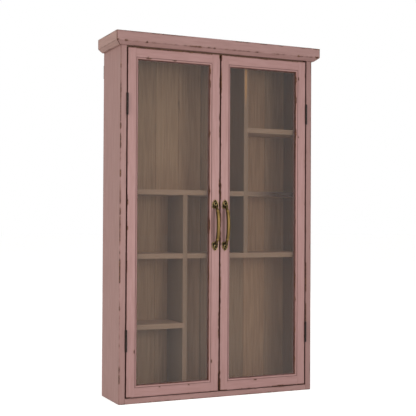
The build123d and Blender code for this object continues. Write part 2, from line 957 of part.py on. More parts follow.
carcass_knuckles = range(0, knuckle_count, 2)
door_knuckles = range(1, knuckle_count, 2)
for level, bottom in zip(("upper", "lower"), hinge_bottoms):
    carcass_leaf = hinge_leaf(bottom, inner_left, carcass_knuckles, carcass_leaf_screws)
    door_leaf = hinge_leaf(
        bottom, door_left - leaf_thickness, door_knuckles, door_leaf_screws
    )
    keep(carcass_leaf, f"left_{level}_hinge_carcass_leaf")
    keep(door_leaf, f"left_{level}_hinge_door_leaf")
    keep(mirrored(carcass_leaf), f"right_{level}_hinge_carcass_leaf")
    keep(mirrored(door_leaf), f"right_{level}_hinge_door_leaf")

# Hinge pins: a rounded head at each end holds the pin in its knuckles
with BuildPart() as hinge_pins:
    for bottom in hinge_bottoms:
        with BuildSketch(Plane.XZ) as half_section:
            with BuildLine():
                Polyline(
                    (0, bottom - pin_head_height),
                    (pin_head_radius, bottom - pin_head_height),
                    (pin_head_radius, bottom),
                    (pin_radius, bottom),
                    (pin_radius, bottom + hinge_length),
                    (pin_head_radius, bottom + hinge_length),
                    (pin_head_radius, bottom + hinge_length + pin_head_height),
                    (0, bottom + hinge_length + pin_head_height),
                    close=True,
                )
            make_face()
            end_corners = half_section.vertices().group_by(Axis.Z)
            fillet(
                [end_corners[0].sort_by(Axis.X)[-1], end_corners[-1].sort_by(Axis.X)[-1]],
                radius=min(pin_head_rounding, 0.9 * pin_head_height),
            )
        pin = revolve(axis=Axis.Z, mode=Mode.PRIVATE)
        with Locations((hinge_x, hinge_y, 0)):
            add(pin)
    mirror(about=centre_plane)
keep(hinge_pins.part, "hinge_pins")

# Hinge screws in the carcass, for both sides
with BuildPart() as carcass_hinge_screws:
    with Locations(*carcass_leaf_screws):
        add(screw(hinge_screw_length))
    mirror(about=centre_plane)
keep(carcass_hinge_screws.part, "carcass_hinge_screws")

with BuildPart() as door_hinge_screws:
    with Locations(*door_leaf_screws):
        add(screw(hinge_screw_length))

# Both doors, the drawn pieces and their mirror images
door_pieces = {
    "door_hinge_stile": hinge_stile.part,
    "door_meeting_stile": meeting_stile.part,
    "door_top_rail": top_rail.part,
    "door_bottom_rail": bottom_rail.part,
    "door_glass": glass.part,
    "door_glazing_strips": glazing_strips.part,
    "door_pull": pull.part,
    "door_pull_screws": pull_screw_pair.part,
    "door_strike_plate": strike_plate.part,
    "door_strike_screw": strike_plate_screw.part,
    "door_hinge_screws": door_hinge_screws.part,
}
for node, piece in door_pieces.items():
    keep(piece, f"left_{node}")
    keep(mirrored(piece), f"right_{node}")

# Double magnetic catch under the header rail
with BuildPart() as catch_housing:
    with BuildSketch(Plane.XY.offset(header_underside - catch_height)):
        with Locations((centre_x, catch_front)):
            Rectangle(catch_length, catch_depth, align=(Align.CENTER, Align.MIN))
    extrude(amount=catch_height)
    with BuildSketch(Plane.XZ.offset(-catch_front)):
        with Locations((centre_x, catch_centre_z)):
            with GridLocations(magnet_spacing, 0, 2, 1):
                Rectangle(
                    magnet_length + 2 * magnet_clearance,
                    magnet_height + 2 * magnet_clearance,
                )
    extrude(amount=-(magnet_depth - magnet_proud), mode=Mode.SUBTRACT)
    with Locations(*catch_screws):
        add(screw(catch_screw_length, screw_clearance), mode=Mode.SUBTRACT)
keep(catch_housing.part, "catch_housing")

with BuildPart() as catch_magnets:
    with BuildSketch(Plane.XZ.offset(-magnet_front)):
        with Locations((centre_x, catch_centre_z)):
            with GridLocations(magnet_spacing, 0, 2, 1):
                Rectangle(magnet_length, magnet_height)
    extrude(amount=-magnet_depth)
keep(catch_magnets.part, "catch_magnets")

with BuildPart() as catch_screw_pair:
    with Locations(*catch_screws):
        add(screw(catch_screw_length))
keep(catch_screw_pair.part, "catch_screws")

# Hanger plates with keyholes, one on the back edge of each side
hanger_entry_height = hanger_centre_height - hanger_slot_rise / 2
with BuildPart() as hanger_plates:
    with BuildSketch(Plane.XZ.offset(-carcass_depth)):
        with Locations((hanger_x, hanger_centre_height)):
            RectangleRounded(hanger_width, hanger_height, hanger_corner_radius)
        with Locations((hanger_x, hanger_entry_height)):
            Circle(hanger_entry_radius, mode=Mode.SUBTRACT)
        with Locations((hanger_x, hanger_centre_height)):
            SlotCenterToCenter(
                hanger_slot_rise,
                hanger_slot_width,
                rotation=90,
                mode=Mode.SUBTRACT,
            )
    extrude(amount=-hanger_thickness)
    with Locations(*hanger_screws):
        add(screw(hanger_screw_length, screw_clearance), mode=Mode.SUBTRACT)
    mirror(about=centre_plane)
keep(hanger_plates.part, "hanger_plates")

with BuildPart() as hanger_screw_set:
    with Locations(*hanger_screws):
        add(screw(hanger_screw_length))
    mirror(about=centre_plane)
keep(hanger_screw_set.part, "hanger_screws")
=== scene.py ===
import bpy
import bmesh
from math import atan2, ceil, cos, exp, hypot, pi, radians, sin, tan
from mathutils import Matrix, Vector, noise


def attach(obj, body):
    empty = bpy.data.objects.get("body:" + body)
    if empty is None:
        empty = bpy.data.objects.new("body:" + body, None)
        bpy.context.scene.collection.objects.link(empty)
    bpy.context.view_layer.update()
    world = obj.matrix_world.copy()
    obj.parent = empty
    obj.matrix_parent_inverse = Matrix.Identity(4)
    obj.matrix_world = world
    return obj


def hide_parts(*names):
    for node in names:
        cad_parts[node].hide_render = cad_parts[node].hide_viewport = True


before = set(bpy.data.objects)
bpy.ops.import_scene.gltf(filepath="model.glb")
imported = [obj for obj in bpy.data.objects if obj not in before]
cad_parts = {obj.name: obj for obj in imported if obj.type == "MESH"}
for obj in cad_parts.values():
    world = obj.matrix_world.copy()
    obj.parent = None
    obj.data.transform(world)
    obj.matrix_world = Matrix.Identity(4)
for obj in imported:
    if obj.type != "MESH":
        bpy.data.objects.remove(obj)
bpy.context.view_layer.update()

# Side panels
# Two planed pine boards stand full height, housed for the shelves and rabbeted for the back.
# Outside they carry a dusty pink chalk paint, rubbed through to a brown stain on the arrises.
# Inside they are bare, aged fir, with the paint only just turned round the front edge.
mm = 0.001
# Sizes are in millimetres: x to the right, y to the back and z up from the carcass's underside
half_width = 307.5
inner_face = 289.5
front_face = -75.0
back_face = 75.0
painted_to = -56.0
rabbet_face = 65.0
rabbet_wall = 295.5
panel_height = 1020.0
# An arris is eased in four steps. Rows of points 3.0 and 5.5 mm beside it bound its wear, and
# rows across the board stand every 5 mm, with two more near an end that nothing covers.
arris_steps = 4
shoulder = 3.0
beyond_shoulder = 5.5
narrow_face = 2.5 * beyond_shoulder
shoulder_fade = 0.45
no_wear = 2.0
row_step = 5.0
end_row = 1.2
second_end_row = 3.2
end_wear_gain = 1.6
# Where an arris has lost more than this, it is dented too
dent_from = 0.6
dent_depth = 0.8
crease = radians(31)
# Which of a board's finishes a face takes
painted = 0
bare_wood = 1


def linear(hex_colour):
    """An sRGB hex colour as linear red, green and blue, with full alpha."""
    channels = [int(hex_colour[i : i + 2], 16) / 255 for i in (1, 3, 5)]
    return [c / 12.92 if c <= 0.04045 else ((c + 0.055) / 1.055) ** 2.4 for c in channels] + [1.0]


def add_node(material, kind, links=None, stops=None, **settings):
    """Add a node with its settings. Each link gives an input a value, another node's output, or
    another node, which stands for its first output."""
    node = material.node_tree.nodes.new(kind)
    for key, value in settings.items():
        setattr(node, key, value)
    for socket, source in (links or {}).items():
        if isinstance(source, bpy.types.Node):
            source = source.outputs[0]
        if isinstance(source, bpy.types.NodeSocket):
            material.node_tree.links.new(source, node.inputs[socket])
        else:
            node.inputs[socket].default_value = source
    if stops:
        while len(node.color_ramp.elements) < len(stops):
            node.color_ramp.elements.new(1.0)
        for element, (position, colour) in zip(node.color_ramp.elements, stops):
            element.position = position
            element.color = linear(colour)
    return node


def new_material(name):
    """A node material that holds only its output, and the tree's own output node."""
    material = bpy.data.materials.new(name)
    material.use_nodes = True
    material.node_tree.nodes.clear()
    return material, material.node_tree.nodes.new("ShaderNodeOutputMaterial")


def grain_scale(grain, across, along):
    """Scale of a pattern in millimetres, drawn out along the grain's axis."""
    return [1000 / (along if axis == grain else across) for axis in "XYZ"]


def chalk_paint(name, grain, tones):
    """Chalk paint brushed by hand over stained pine. It looks matt and dry, streaked along the
    board and a little cloudy, with a few knocks, and is rubbed through wherever the board's worn
    value is high. tones are its deepest, middle and palest colour."""
    material, output = new_material(name)
    place = add_node(material, "ShaderNodeTexCoord").outputs["Object"]
    # Brush streaks about 2.6 mm apart, drawn coarser than a real brush's so that they show
    streak_place = add_node(
        material, "ShaderNodeMapping", {0: place, "Scale": grain_scale(grain, 2.6, 170)}
    )
    streaks = add_node(
        material, "ShaderNodeTexNoise", {0: streak_place, "Detail": 3.0, "Roughness": 0.6}
    )
    cloud_place = add_node(
        material, "ShaderNodeMapping", {0: place, "Scale": grain_scale(grain, 30, 320)}
    )
    clouds = add_node(material, "ShaderNodeTexNoise", {0: cloud_place, "Detail": 2.0})
    tone = add_node(
        material, "ShaderNodeMath", {0: clouds, 1: 0.8, 2: streaks}, operation="MULTIPLY_ADD"
    )
    tone = add_node(material, "ShaderNodeMapRange", {0: tone, 1: 0.5, 2: 1.3})
    paint = add_node(
        material, "ShaderNodeValToRGB", {0: tone}, stops=list(zip((0.0, 0.5, 1.0), tones))
    )

    # Dirt and painted shade in the quirks, under the sight edges and down the gaps beside the doors:
    # a dark brown that stands partly for grime and partly for the shade that falls there
    dirt_and_shade = add_node(material, "ShaderNodeAttribute", attribute_name="dirt_and_shade")
    dirt_and_shade_depth = add_node(
        material, "ShaderNodeMapRange", {0: clouds, 1: 0.3, 2: 0.7, 3: 0.8, 4: 1.15}
    )
    dirt_and_shade_share = add_node(
        material,
        "ShaderNodeMath",
        {0: dirt_and_shade.outputs["Fac"], 1: dirt_and_shade_depth},
        operation="MULTIPLY",
        use_clamp=True,
    )
    paint = add_node(
        material,
        "ShaderNodeMix",
        {0: dirt_and_shade_share, 6: paint, 7: linear("#471E14")},
        data_type="RGBA",
    )

    # Flakes about 2.4 mm wide and 6 mm long break up the rubbed edge
    worn = add_node(material, "ShaderNodeAttribute", attribute_name="worn")
    flake_place = add_node(
        material, "ShaderNodeMapping", {0: place, "Scale": grain_scale(grain, 2.4, 6)}
    )
    flakes = add_node(
        material, "ShaderNodeTexNoise", {0: flake_place, "Detail": 3.0, "Roughness": 0.6}
    )
    breakup = add_node(
        material,
        "ShaderNodeMath",
        {0: flakes, 1: 0.8, 2: worn.outputs["Fac"]},
        operation="MULTIPLY_ADD",
    )
    rub = add_node(material, "ShaderNodeMapRange", {0: breakup, 1: 0.95, 2: 1.02})

    # Knocks about 2 mm wide, in a few of the fields of 36 by 44 mm
    knock_place = add_node(
        material, "ShaderNodeMapping", {0: place, "Scale": grain_scale(grain, 36, 44)}
    )
    knocks = add_node(material, "ShaderNodeTexVoronoi", {0: knock_place})
    chosen = add_node(
        material, "ShaderNodeMath", {0: knocks.outputs["Color"], 1: 0.72}, operation="GREATER_THAN"
    )
    close = add_node(
        material, "ShaderNodeMapRange", {0: knocks.outputs["Distance"], 1: 0.04, 2: 0.022}
    )
    knock = add_node(material, "ShaderNodeMath", {0: close, 1: chosen}, operation="MULTIPLY")
    bare = add_node(material, "ShaderNodeMath", {0: rub, 1: knock}, operation="MAXIMUM")
    # Even where it isn't rubbed through, the paint is thin on an arris and the stain shows
    thin = add_node(
        material,
        "ShaderNodeMath",
        {0: worn.outputs["Fac"], 1: 0.75},
        operation="MULTIPLY",
        use_clamp=True,
    )
    bare = add_node(material, "ShaderNodeMath", {0: bare, 1: thin}, operation="MAXIMUM")
    stain_place = add_node(
        material, "ShaderNodeMapping", {0: place, "Scale": grain_scale(grain, 8, 26)}
    )
    stain_patches = add_node(material, "ShaderNodeTexNoise", {0: stain_place})
    stain = add_node(
        material,
        "ShaderNodeValToRGB",
        {0: stain_patches},
        stops=[(0.4, "#351A10"), (0.56, "#5C3624"), (0.7, "#936C3E")],
    )
    colour = add_node(
        material, "ShaderNodeMix", {0: bare, 6: paint.outputs[2], 7: stain}, data_type="RGBA"
    )
    roughness = add_node(
        material, "ShaderNodeMapRange", {0: streaks, 1: 0.2, 2: 0.8, 3: 0.52, 4: 0.68}
    )
    height = add_node(
        material, "ShaderNodeMath", {0: bare, 1: -0.9, 2: streaks}, operation="MULTIPLY_ADD"
    )
    bump = add_node(
        material, "ShaderNodeBump", {"Height": height, "Strength": 0.4, "Distance": 0.2 * mm}
    )
    shader = add_node(
        material,
        "ShaderNodeBsdfPrincipled",
        {
            "Base Color": colour.outputs[2],
            "Roughness": roughness,
            "Normal": bump,
            "IOR": 1.48,
            "Specular IOR Level": 0.35,
        },
    )
    material.node_tree.links.new(shader.outputs[0], output.inputs[0])
    return material


def aged_fir(name, grain, board_tones_and_shade=(), patches=(), fresh_front=0.0):
    """Bare planed fir that has greyed and browned with age. It looks dull and fibrous, with long
    lines of figure a few millimetres apart. board_tones_and_shade tint the boards from left to
    right: each its own tone, some darkened further as painted shade. fresh_front is how far a
    front edge is lighter. A patch, such as a knot or a painted shadow, is (centre, half sizes,
    lean, strength, colour), in metres and radians."""
    material, output = new_material(name)
    place = add_node(material, "ShaderNodeTexCoord").outputs["Object"]
    figure_place = add_node(
        material, "ShaderNodeMapping", {0: place, "Scale": grain_scale(grain, 34, 620)}
    )
    figure = add_node(
        material, "ShaderNodeTexNoise", {0: figure_place, "Detail": 2.0, "Distortion": 0.3}
    )
    rings = add_node(material, "ShaderNodeMath", {0: figure, 1: 16.0}, operation="MULTIPLY")
    rings = add_node(material, "ShaderNodeMath", {0: rings, 1: 0.5}, operation="PINGPONG")
    fibre_place = add_node(
        material, "ShaderNodeMapping", {0: place, "Scale": grain_scale(grain, 1.5, 90)}
    )
    fibres = add_node(
        material, "ShaderNodeTexNoise", {0: fibre_place, "Detail": 3.0, "Roughness": 0.65}
    )
    band_place = add_node(
        material, "ShaderNodeMapping", {0: place, "Scale": grain_scale(grain, 22, 500)}
    )
    bands = add_node(material, "ShaderNodeTexNoise", {0: band_place, "Detail": 2.0})
    tone = add_node(
        material, "ShaderNodeMath", {0: rings, 1: 0.28, 2: bands}, operation="MULTIPLY_ADD"
    )
    tone = add_node(
        material, "ShaderNodeMath", {0: fibres, 1: 0.35, 2: tone}, operation="MULTIPLY_ADD"
    )
    tone = add_node(material, "ShaderNodeMapRange", {0: tone, 1: 0.36, 2: 1.14})
    wood = add_node(
        material,
        "ShaderNodeValToRGB",
        {0: tone},
        stops=[(0.0, "#B08872"), (0.5, "#C9A087"), (1.0, "#D9B299")],
    ).outputs[0]
    if board_tones_and_shade:
        axes = add_node(material, "ShaderNodeSeparateXYZ", {0: place})
        reach = rabbet_wall * mm
        across = add_node(material, "ShaderNodeMapRange", {0: axes, 1: -reach, 2: reach})
        tones = add_node(
            material,
            "ShaderNodeValToRGB",
            {0: across},
            stops=[(i / len(board_tones_and_shade), tone) for i, tone in enumerate(board_tones_and_shade)],
        )
        tones.color_ramp.interpolation = "CONSTANT"
        wood = add_node(
            material,
            "ShaderNodeMix",
            {0: 1.0, 6: wood, 7: tones},
            data_type="RGBA",
            blend_type="MULTIPLY",
        ).outputs[2]
    if fresh_front:
        normal = add_node(material, "ShaderNodeNewGeometry").outputs["Normal"]
        facing = add_node(material, "ShaderNodeSeparateXYZ", {0: normal})
        fresh = add_node(
            material, "ShaderNodeMapRange", {0: facing.outputs[1], 1: -0.3, 2: -0.8, 4: fresh_front}
        )
        wood = add_node(
            material, "ShaderNodeMix", {0: fresh, 6: wood, 7: linear("#A4806A")}, data_type="RGBA"
        ).outputs[2]
    for centre, half_sizes, lean, strength, patch_colour in patches:
        patch_place = add_node(
            material,
            "ShaderNodeMapping",
            {0: place, "Location": centre, "Rotation": (0, lean, 0), "Scale": half_sizes},
            vector_type="TEXTURE",
        )
        patch = add_node(
            material, "ShaderNodeTexGradient", {0: patch_place}, gradient_type="SPHERICAL"
        )
        patch_share = add_node(
            material, "ShaderNodeMapRange", {0: patch.outputs[1], 2: 0.6, 4: strength}
        )
        wood = add_node(
            material,
            "ShaderNodeMix",
            {0: patch_share, 6: wood, 7: linear(patch_colour)},
            data_type="RGBA",
        ).outputs[2]
    roughness = add_node(
        material, "ShaderNodeMapRange", {0: fibres, 1: 0.2, 2: 0.8, 3: 0.62, 4: 0.8}
    )
    bump = add_node(
        material, "ShaderNodeBump", {"Height": fibres, "Strength": 0.4, "Distance": 0.2 * mm}
    )
    shader = add_node(
        material,
        "ShaderNodeBsdfPrincipled",
        {
            "Base Color": wood,
            "Roughness": roughness,
            "Normal": bump,
            "IOR": 1.5,
            "Specular IOR Level": 0.3,
        },
    )
    material.node_tree.links.new(shader.outputs[0], output.inputs[0])
    return material


# The carcass takes a darker copy of the doors' paint: painted shade for the side boards, which face
# away from the lamp. The cornice front, bottom board and top board share it.
carcass_tones_with_painted_shade = ("#9F7975", "#AC8681", "#B6918D")
paint_upright = chalk_paint("chalk_paint_upright_grain", "Z", carcass_tones_with_painted_shade)
# The side boards' bare inside is toned grey-brown, partly as aged wood and partly as painted shade on
# the inner face that turns away from the lamp
fir_sides = aged_fir("aged_fir_side_panels", "Z", ["#AFA39C"])


def corner(across, deep, radius=0.0, worn=0.0, finish=painted, dirt_and_shade=0.0):
    """A corner of a board's section; finish and dirt_and_shade are those of the face after it.
    dirt_and_shade is partly dirt and partly painted shade.
    """
    return Vector((across, deep)), radius, worn, finish, dirt_and_shade


def eased_outline(corners):
    """Points round a section as (place, wear, fade, corner number, finish, dirt_and_shade), with
    the arrises eased. fade is how much of the arris's wear is gone at the point. dirt_and_shade
    is partly dirt and partly painted shade."""
    points = []
    for i, (at, radius, worn, finish, dirt_and_shade) in enumerate(corners):
        before = corners[i - 1][0] - at
        after = corners[(i + 1) % len(corners)][0] - at
        finish_before, dirt_and_shade_before = corners[i - 1][3:]
        if radius == 0.0:
            points.append((at, worn, 0.0, i, finish, max(dirt_and_shade_before, dirt_and_shade)))
            continue
        reach = radius / tan(before.angle(after) / 2)
        first = at + before.normalized() * reach
        last = at + after.normalized() * reach
        if before.length > narrow_face:
            for away, fade in ((beyond_shoulder, no_wear), (shoulder, shoulder_fade)):
                beside = at + before.normalized() * away
                points.append((beside, worn, fade, i, finish_before, dirt_and_shade_before))
        for step in range(arris_steps + 1):
            share = step / arris_steps
            bend = first.lerp(at, share).lerp(at.lerp(last, share), share)
            arris_dirt_and_shade = dirt_and_shade_before if share <= 0.5 else dirt_and_shade
            points.append((bend, worn, 0.0, i, finish if share == 1 else finish_before, arris_dirt_and_shade))
        if after.length > narrow_face:
            for away, fade in ((shoulder, shoulder_fade), (beyond_shoulder, no_wear)):
                beside = at + after.normalized() * away
                points.append((beside, worn, fade, i, finish, dirt_and_shade))
    return points


def rubbed(along, edge, seed):
    """How far the paint is rubbed off at a place along one edge of one board, from 0 to 1."""
    long_wave = noise.noise(Vector((along / 60, edge * 5.13, seed * 3.71)))
    short_wave = noise.noise(Vector((along / 13, edge * 9.37, seed * 7.93)))
    return max(0.0, min(1.0, 0.5 + 0.7 * long_wave + 0.65 * short_wave))


def empty_shape():
    return {"vertices": [], "faces": [], "wear": [], "dirt_and_shade": [], "finishes": []}


def add_board(
    shape, corners, start, end, to_world, seed, free_ends=(0.0, 0.0), rubs=(), quirk_span=None
):
    """Sweep a section from start to end, which may be mitred, as one closed shell.

    start and end give the place along the board for a point of the section. free_ends gives the
    wear of each end that nothing covers, and rubs lists (corner, from, to, strength) where the
    paint is thin or gone. Outside quirk_span, corner 1 is hidden in a joint and gets neither dirt
    nor painted shade.
    """
    outline = eased_outline(corners)
    count = len(outline)
    area = sum(outline[i - 1][0].cross(outline[i][0]) for i in range(count))
    side = 1 if area > 0 else -1
    inward = []
    for i in range(count):
        run = outline[(i + 1) % count][0] - outline[i - 1][0]
        inward.append(Vector((-run.y, run.x)).normalized() * side)
    length = max(end(p[0]) for p in outline) - min(start(p[0]) for p in outline)
    steps = ceil(length / row_step)
    stations = [(step / steps, 0.0) for step in range(steps + 1)]
    near, nearer = second_end_row / length, end_row / length
    if free_ends[0]:
        stations[0:1] = [(0.0, free_ends[0]), (nearer, 0.0), (near, 0.0)]
    if free_ends[1]:
        stations[-1:] = [(1 - near, 0.0), (1 - nearer, 0.0), (1.0, free_ends[1])]
    first_vertex = len(shape["vertices"])
    for number, (share, ease) in enumerate(stations):
        for i, (at, worn, fade, edge, _, dirt_and_shade) in enumerate(outline):
            along = start(at) + share * (end(at) - start(at))
            loss = rubbed(along, edge, seed) * worn
            for rubbed_edge, rub_from, rub_to, strength in rubs:
                if edge == rubbed_edge and rub_from <= along <= rub_to:
                    loss = max(loss, strength)
            loss = max(0.0, loss - fade)
            for end_number, end_edge in ((0, 11), (1, 13)):
                at_end = number > len(stations) - 3 if end_number else number < 2
                if at_end and free_ends[end_number]:
                    end_wear = end_wear_gain * free_ends[end_number]
                    loss = max(loss, min(1.0, end_wear * rubbed(at.x + at.y, end_edge, seed)))
            dent = dent_depth * max(0.0, loss - dent_from) if worn and not fade else 0.0
            moved = at + inward[i] * (dent + ease)
            shape["vertices"].append(Vector(to_world(moved.x, moved.y, along)) * mm)
            shape["wear"].append(loss)
            jointed = edge == 1 and quirk_span and not quirk_span[0] < along < quirk_span[1]
            shape["dirt_and_shade"].append(0.0 if jointed else dirt_and_shade)
    for number in range(len(stations) - 1):
        for i in range(count):
            a = first_vertex + number * count + i
            b = first_vertex + number * count + (i + 1) % count
            shape["faces"].append((a, b, b + count, a + count))
            shape["finishes"].append(outline[i][4])
    last_ring = first_vertex + (len(stations) - 1) * count
    shape["faces"].append(tuple(range(first_vertex, first_vertex + count)))
    shape["faces"].append(tuple(range(last_ring, last_ring + count)))
    shape["finishes"] += [painted, painted]


def make_piece(name, shape, finishes, body, replaced):
    """Turn a shape into a painted object with its finishes, riding on a body."""
    mesh = bpy.data.meshes.new(name)
    mesh.from_pydata(shape["vertices"], [], shape["faces"])
    for finish in finishes:
        mesh.materials.append(finish)
    mesh.polygons.foreach_set("material_index", shape["finishes"])
    mesh.attributes.new("worn", "FLOAT", "POINT").data.foreach_set("value", shape["wear"])
    mesh.attributes.new("dirt_and_shade", "FLOAT", "POINT").data.foreach_set("value", shape["dirt_and_shade"])
    work = bmesh.new()
    work.from_mesh(mesh)
    bmesh.ops.recalc_face_normals(work, faces=work.faces)
    for face in work.faces:
        face.smooth = True
    for edge in work.edges:
        edge.smooth = edge.calc_face_angle(0.0) < crease
    work.to_mesh(mesh)
    work.free()
    piece = bpy.data.objects.new(name, mesh)
    bpy.context.scene.collection.objects.link(piece)
    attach(piece, body)
    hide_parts(replaced)


# Stretches of the front arrises where the photograph shows the paint thin or rubbed right off,
# as (corner, from, to, strength). Corner 0 is the outer one and corner 1 the inner one.
left_rubs = [
    (0, 895, 1000, 0.52), (0, 786, 892, 0.62), (0, 768, 783, 1.0), (0, 738, 744, 0.9),
    (0, 633, 650, 1.0), (0, 528, 540, 0.95), (0, 452, 521, 0.72), (0, 336, 390, 0.9),
    (0, 60, 82, 0.85),
]
right_rubs = [
    (0, 847, 859, 1.0), (0, 818, 828, 0.95), (0, 750, 760, 0.85), (0, 430, 441, 0.95),
    (1, 205, 262, 0.8), (1, 300, 388, 0.75),
]
# front_dirt_and_shade darkens the outer front arris of each side board, partly as dirt and partly as
# painted shade, more on the right; the inner front arris, in the gap, takes much more
for side, sign, rubs, front_dirt_and_shade in (("left", -1, left_rubs, 0.05), ("right", 1, right_rubs, 0.14)):
    # The section is seen from above and starts at the outer front corner
    side_section = [
        corner(sign * half_width, front_face, 1.3, 1.0, dirt_and_shade=front_dirt_and_shade),
        corner(sign * inner_face, front_face, 0.8, 0.55, dirt_and_shade=0.85),
        corner(sign * inner_face, painted_to, finish=bare_wood),
        corner(sign * inner_face, rabbet_face, finish=bare_wood),
        corner(sign * rabbet_wall, rabbet_face, finish=bare_wood),
        corner(sign * rabbet_wall, back_face, 0.8, 0.5),
        corner(sign * half_width, back_face, 1.0, 0.8),
    ]
    side_shape = empty_shape()
    add_board(
        side_shape,
        side_section,
        lambda at: 0.0,
        lambda at: panel_height,
        lambda u, v, w: (u, v, w),
        seed=1 if side == "left" else 2,
        free_ends=(0.8, 0.0),
        rubs=rubs,
    )
    finishes = [paint_upright, fir_sides]
    make_piece(f"{side}_side_board", side_shape, finishes, "carcass", f"{side}_side_panel")

# Bottom board and top board
# Pine boards between and across the sides. The bottom board's front edge is painted with the
# outside and its face inside the cabinet is bare; the top board is painted all over.
paint_across = chalk_paint("chalk_paint_level_grain", "X", carcass_tones_with_painted_shade)
fir_across = aged_fir("aged_fir_level_grain", "X", fresh_front=0.6)

bottom_thickness = 16.0
bottom_shape = empty_shape()
add_board(
    bottom_shape,
    [
        corner(front_face, 0, 1.4, 1.0),
        # The upper front arris, in the gap under the doors, carries some dirt and painted shade
        corner(front_face, bottom_thickness, 1.2, 0.6, dirt_and_shade=0.3),
        corner(painted_to, bottom_thickness, finish=bare_wood),
        corner(rabbet_face, bottom_thickness, finish=bare_wood),
        corner(rabbet_face, 0),
    ],
    lambda at: -inner_face,
    lambda at: inner_face,
    lambda u, v, w: (w, u, v),
    seed=3,
    rubs=[(0, -218, -210, 0.95), (0, -90, -82, 0.95)],
)
finishes = [paint_across, fir_across]
make_piece("bottom_board_painted", bottom_shape, finishes, "carcass", "bottom_board")


def finish_nodes(material, *names):
    """Give CAD parts whose shape is right a better material."""
    for name in names:
        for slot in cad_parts[name].material_slots:
            slot.material = material


finish_nodes(paint_across, "top_board")

# Header rail
# A bare fir rail across the carcass behind the tops of the doors. It stops the doors and
# carries the magnetic catch.
finish_nodes(fir_across, "header_rail")

# Back boards
# Eight upright fir boards, let in behind the shelves with a small bevel at each joint. Each
# came from another plank, so each has a tone of its own; the fifth and sixth, behind the meeting
# stiles, are toned darker still as painted shade.
back_tones_and_shade = ["#DCD9CE", "#EDE8DA", "#F8F4E6", "#F8F3E7", "#D8D3C9", "#DDD9CE", "#FAF1E2", "#E4DED3"]
# Where the photograph shows a knot and a split below it, high behind the left door
knot = ((-0.0735, 0.065, 0.866), (0.0035, 0.02, 0.011), 0.2, 0.35, "#5C4032")
split_below_knot = ((-0.0695, 0.065, 0.848), (0.0016, 0.02, 0.026), -0.18, 0.35, "#5C4032")
fir_back = aged_fir("aged_fir_back_boards", "Z", back_tones_and_shade, [knot, split_below_knot])
finish_nodes(fir_back, *[f"back_board_{i}" for i in range(1, 9)])

# Shelves and dividers
# Fir boards housed into the sides and into each other. Their front edges were planed last and
# are still a lighter tan than their faces.
finish_nodes(fir_across, "shelf_lower", "shelf_short_left", "shelf_short_right")
# The upper shelf's front edge is darkened towards its right end as painted shadow
painted_shadow_stretch = ((0.262, -0.053, 0.5935), (0.18, 0.012, 0.03), 0.0, 0.97, "#3A1B10")
fir_upper_shelf = aged_fir("aged_fir_upper_shelf", "X", (), [painted_shadow_stretch], fresh_front=0.6)
finish_nodes(fir_upper_shelf, "shelf_upper")
# A stretch near the top of the right divider is the freshest
bare_stretch = ((0.094, -0.053, 0.93), (0.005, 0.012, 0.09), 0.0, 0.95, "#D89C66")
# The dividers are toned greyer and darker, partly as aged wood and partly as painted shade on their
# left faces
fir_dividers = aged_fir("aged_fir_dividers", "Z", ["#C5C6C4"], [bare_stretch], fresh_front=0.75)
finish_nodes(fir_dividers, "divider_left", "divider_right")

# Cornice
# One pine moulding in three lengths, mitred at the front corners and pinned round the top.
# Its lower edge is cut back in a slope. Painted with the rest, and rubbed at the mitres.
# The side lengths take a paler, warmer copy of the paint: painted light, for the light that falls more
# on them than on the side boards below
paint_deep_with_painted_light = chalk_paint("chalk_paint_side_moulding_grain", "Y", ("#A8847D", "#B69189", "#C19F95"))

cornice_reach = 18.5
cornice_top = 1038.0
slope_top = 1010.0
slope_foot = 1000.0
foot_reach = 6.0


def cornice_section(lower_wear):
    """The moulding's section, out from the carcass and up, from under the slope."""
    return [
        corner(0, slope_foot),
        corner(foot_reach, slope_foot, 0.9, 0.6),
        corner(cornice_reach, slope_top, 1.1, lower_wear),
        corner(cornice_reach, cornice_top, 1.0, 0.9),
        corner(0, cornice_top),
    ]


cornice_front = empty_shape()
add_board(
    cornice_front,
    cornice_section(0.88),
    lambda at: -half_width - at.x,
    lambda at: half_width + at.x,
    lambda u, v, w: (w, front_face - u, v),
    seed=4,
    free_ends=(0.9, 0.6),
    rubs=[
        (2, -327, -321, 1.0), (2, -303, -295, 0.9), (2, -241, -233, 1.0), (2, -78, -70, 0.9),
        (2, -32, -23, 0.9), (2, 249, 256, 1.0), (2, 311, 322, 1.0), (3, -210, -201, 0.9),
        (3, 40, 60, 0.95), (3, 118, 146, 0.95), (3, 182, 200, 1.0), (3, 258, 276, 0.95),
        (3, 303, 325, 1.0),
    ],
)
make_piece("cornice_front_moulding", cornice_front, [paint_across], "carcass", "cornice_front")
for side, sign in (("left", -1), ("right", 1)):
    cornice_side = empty_shape()
    add_board(
        cornice_side,
        cornice_section(0.5),
        lambda at: front_face - at.x,
        lambda at: back_face,
        lambda u, v, w: (sign * (half_width + u), w, v),
        seed=5 if side == "left" else 6,
        free_ends=(0.9 if side == "left" else 0.6, 0.7),
        rubs=[(3, -35, 10, 0.9)],
    )
    make_piece(
        f"cornice_{side}_moulding", cornice_side, [paint_deep_with_painted_light], "carcass", f"cornice_{side}"
    )

# Hinges
# Pressed steel butt hinges with a fixed pin, blued and oiled. They are screwed on the flat into
# the gaps beside the doors.


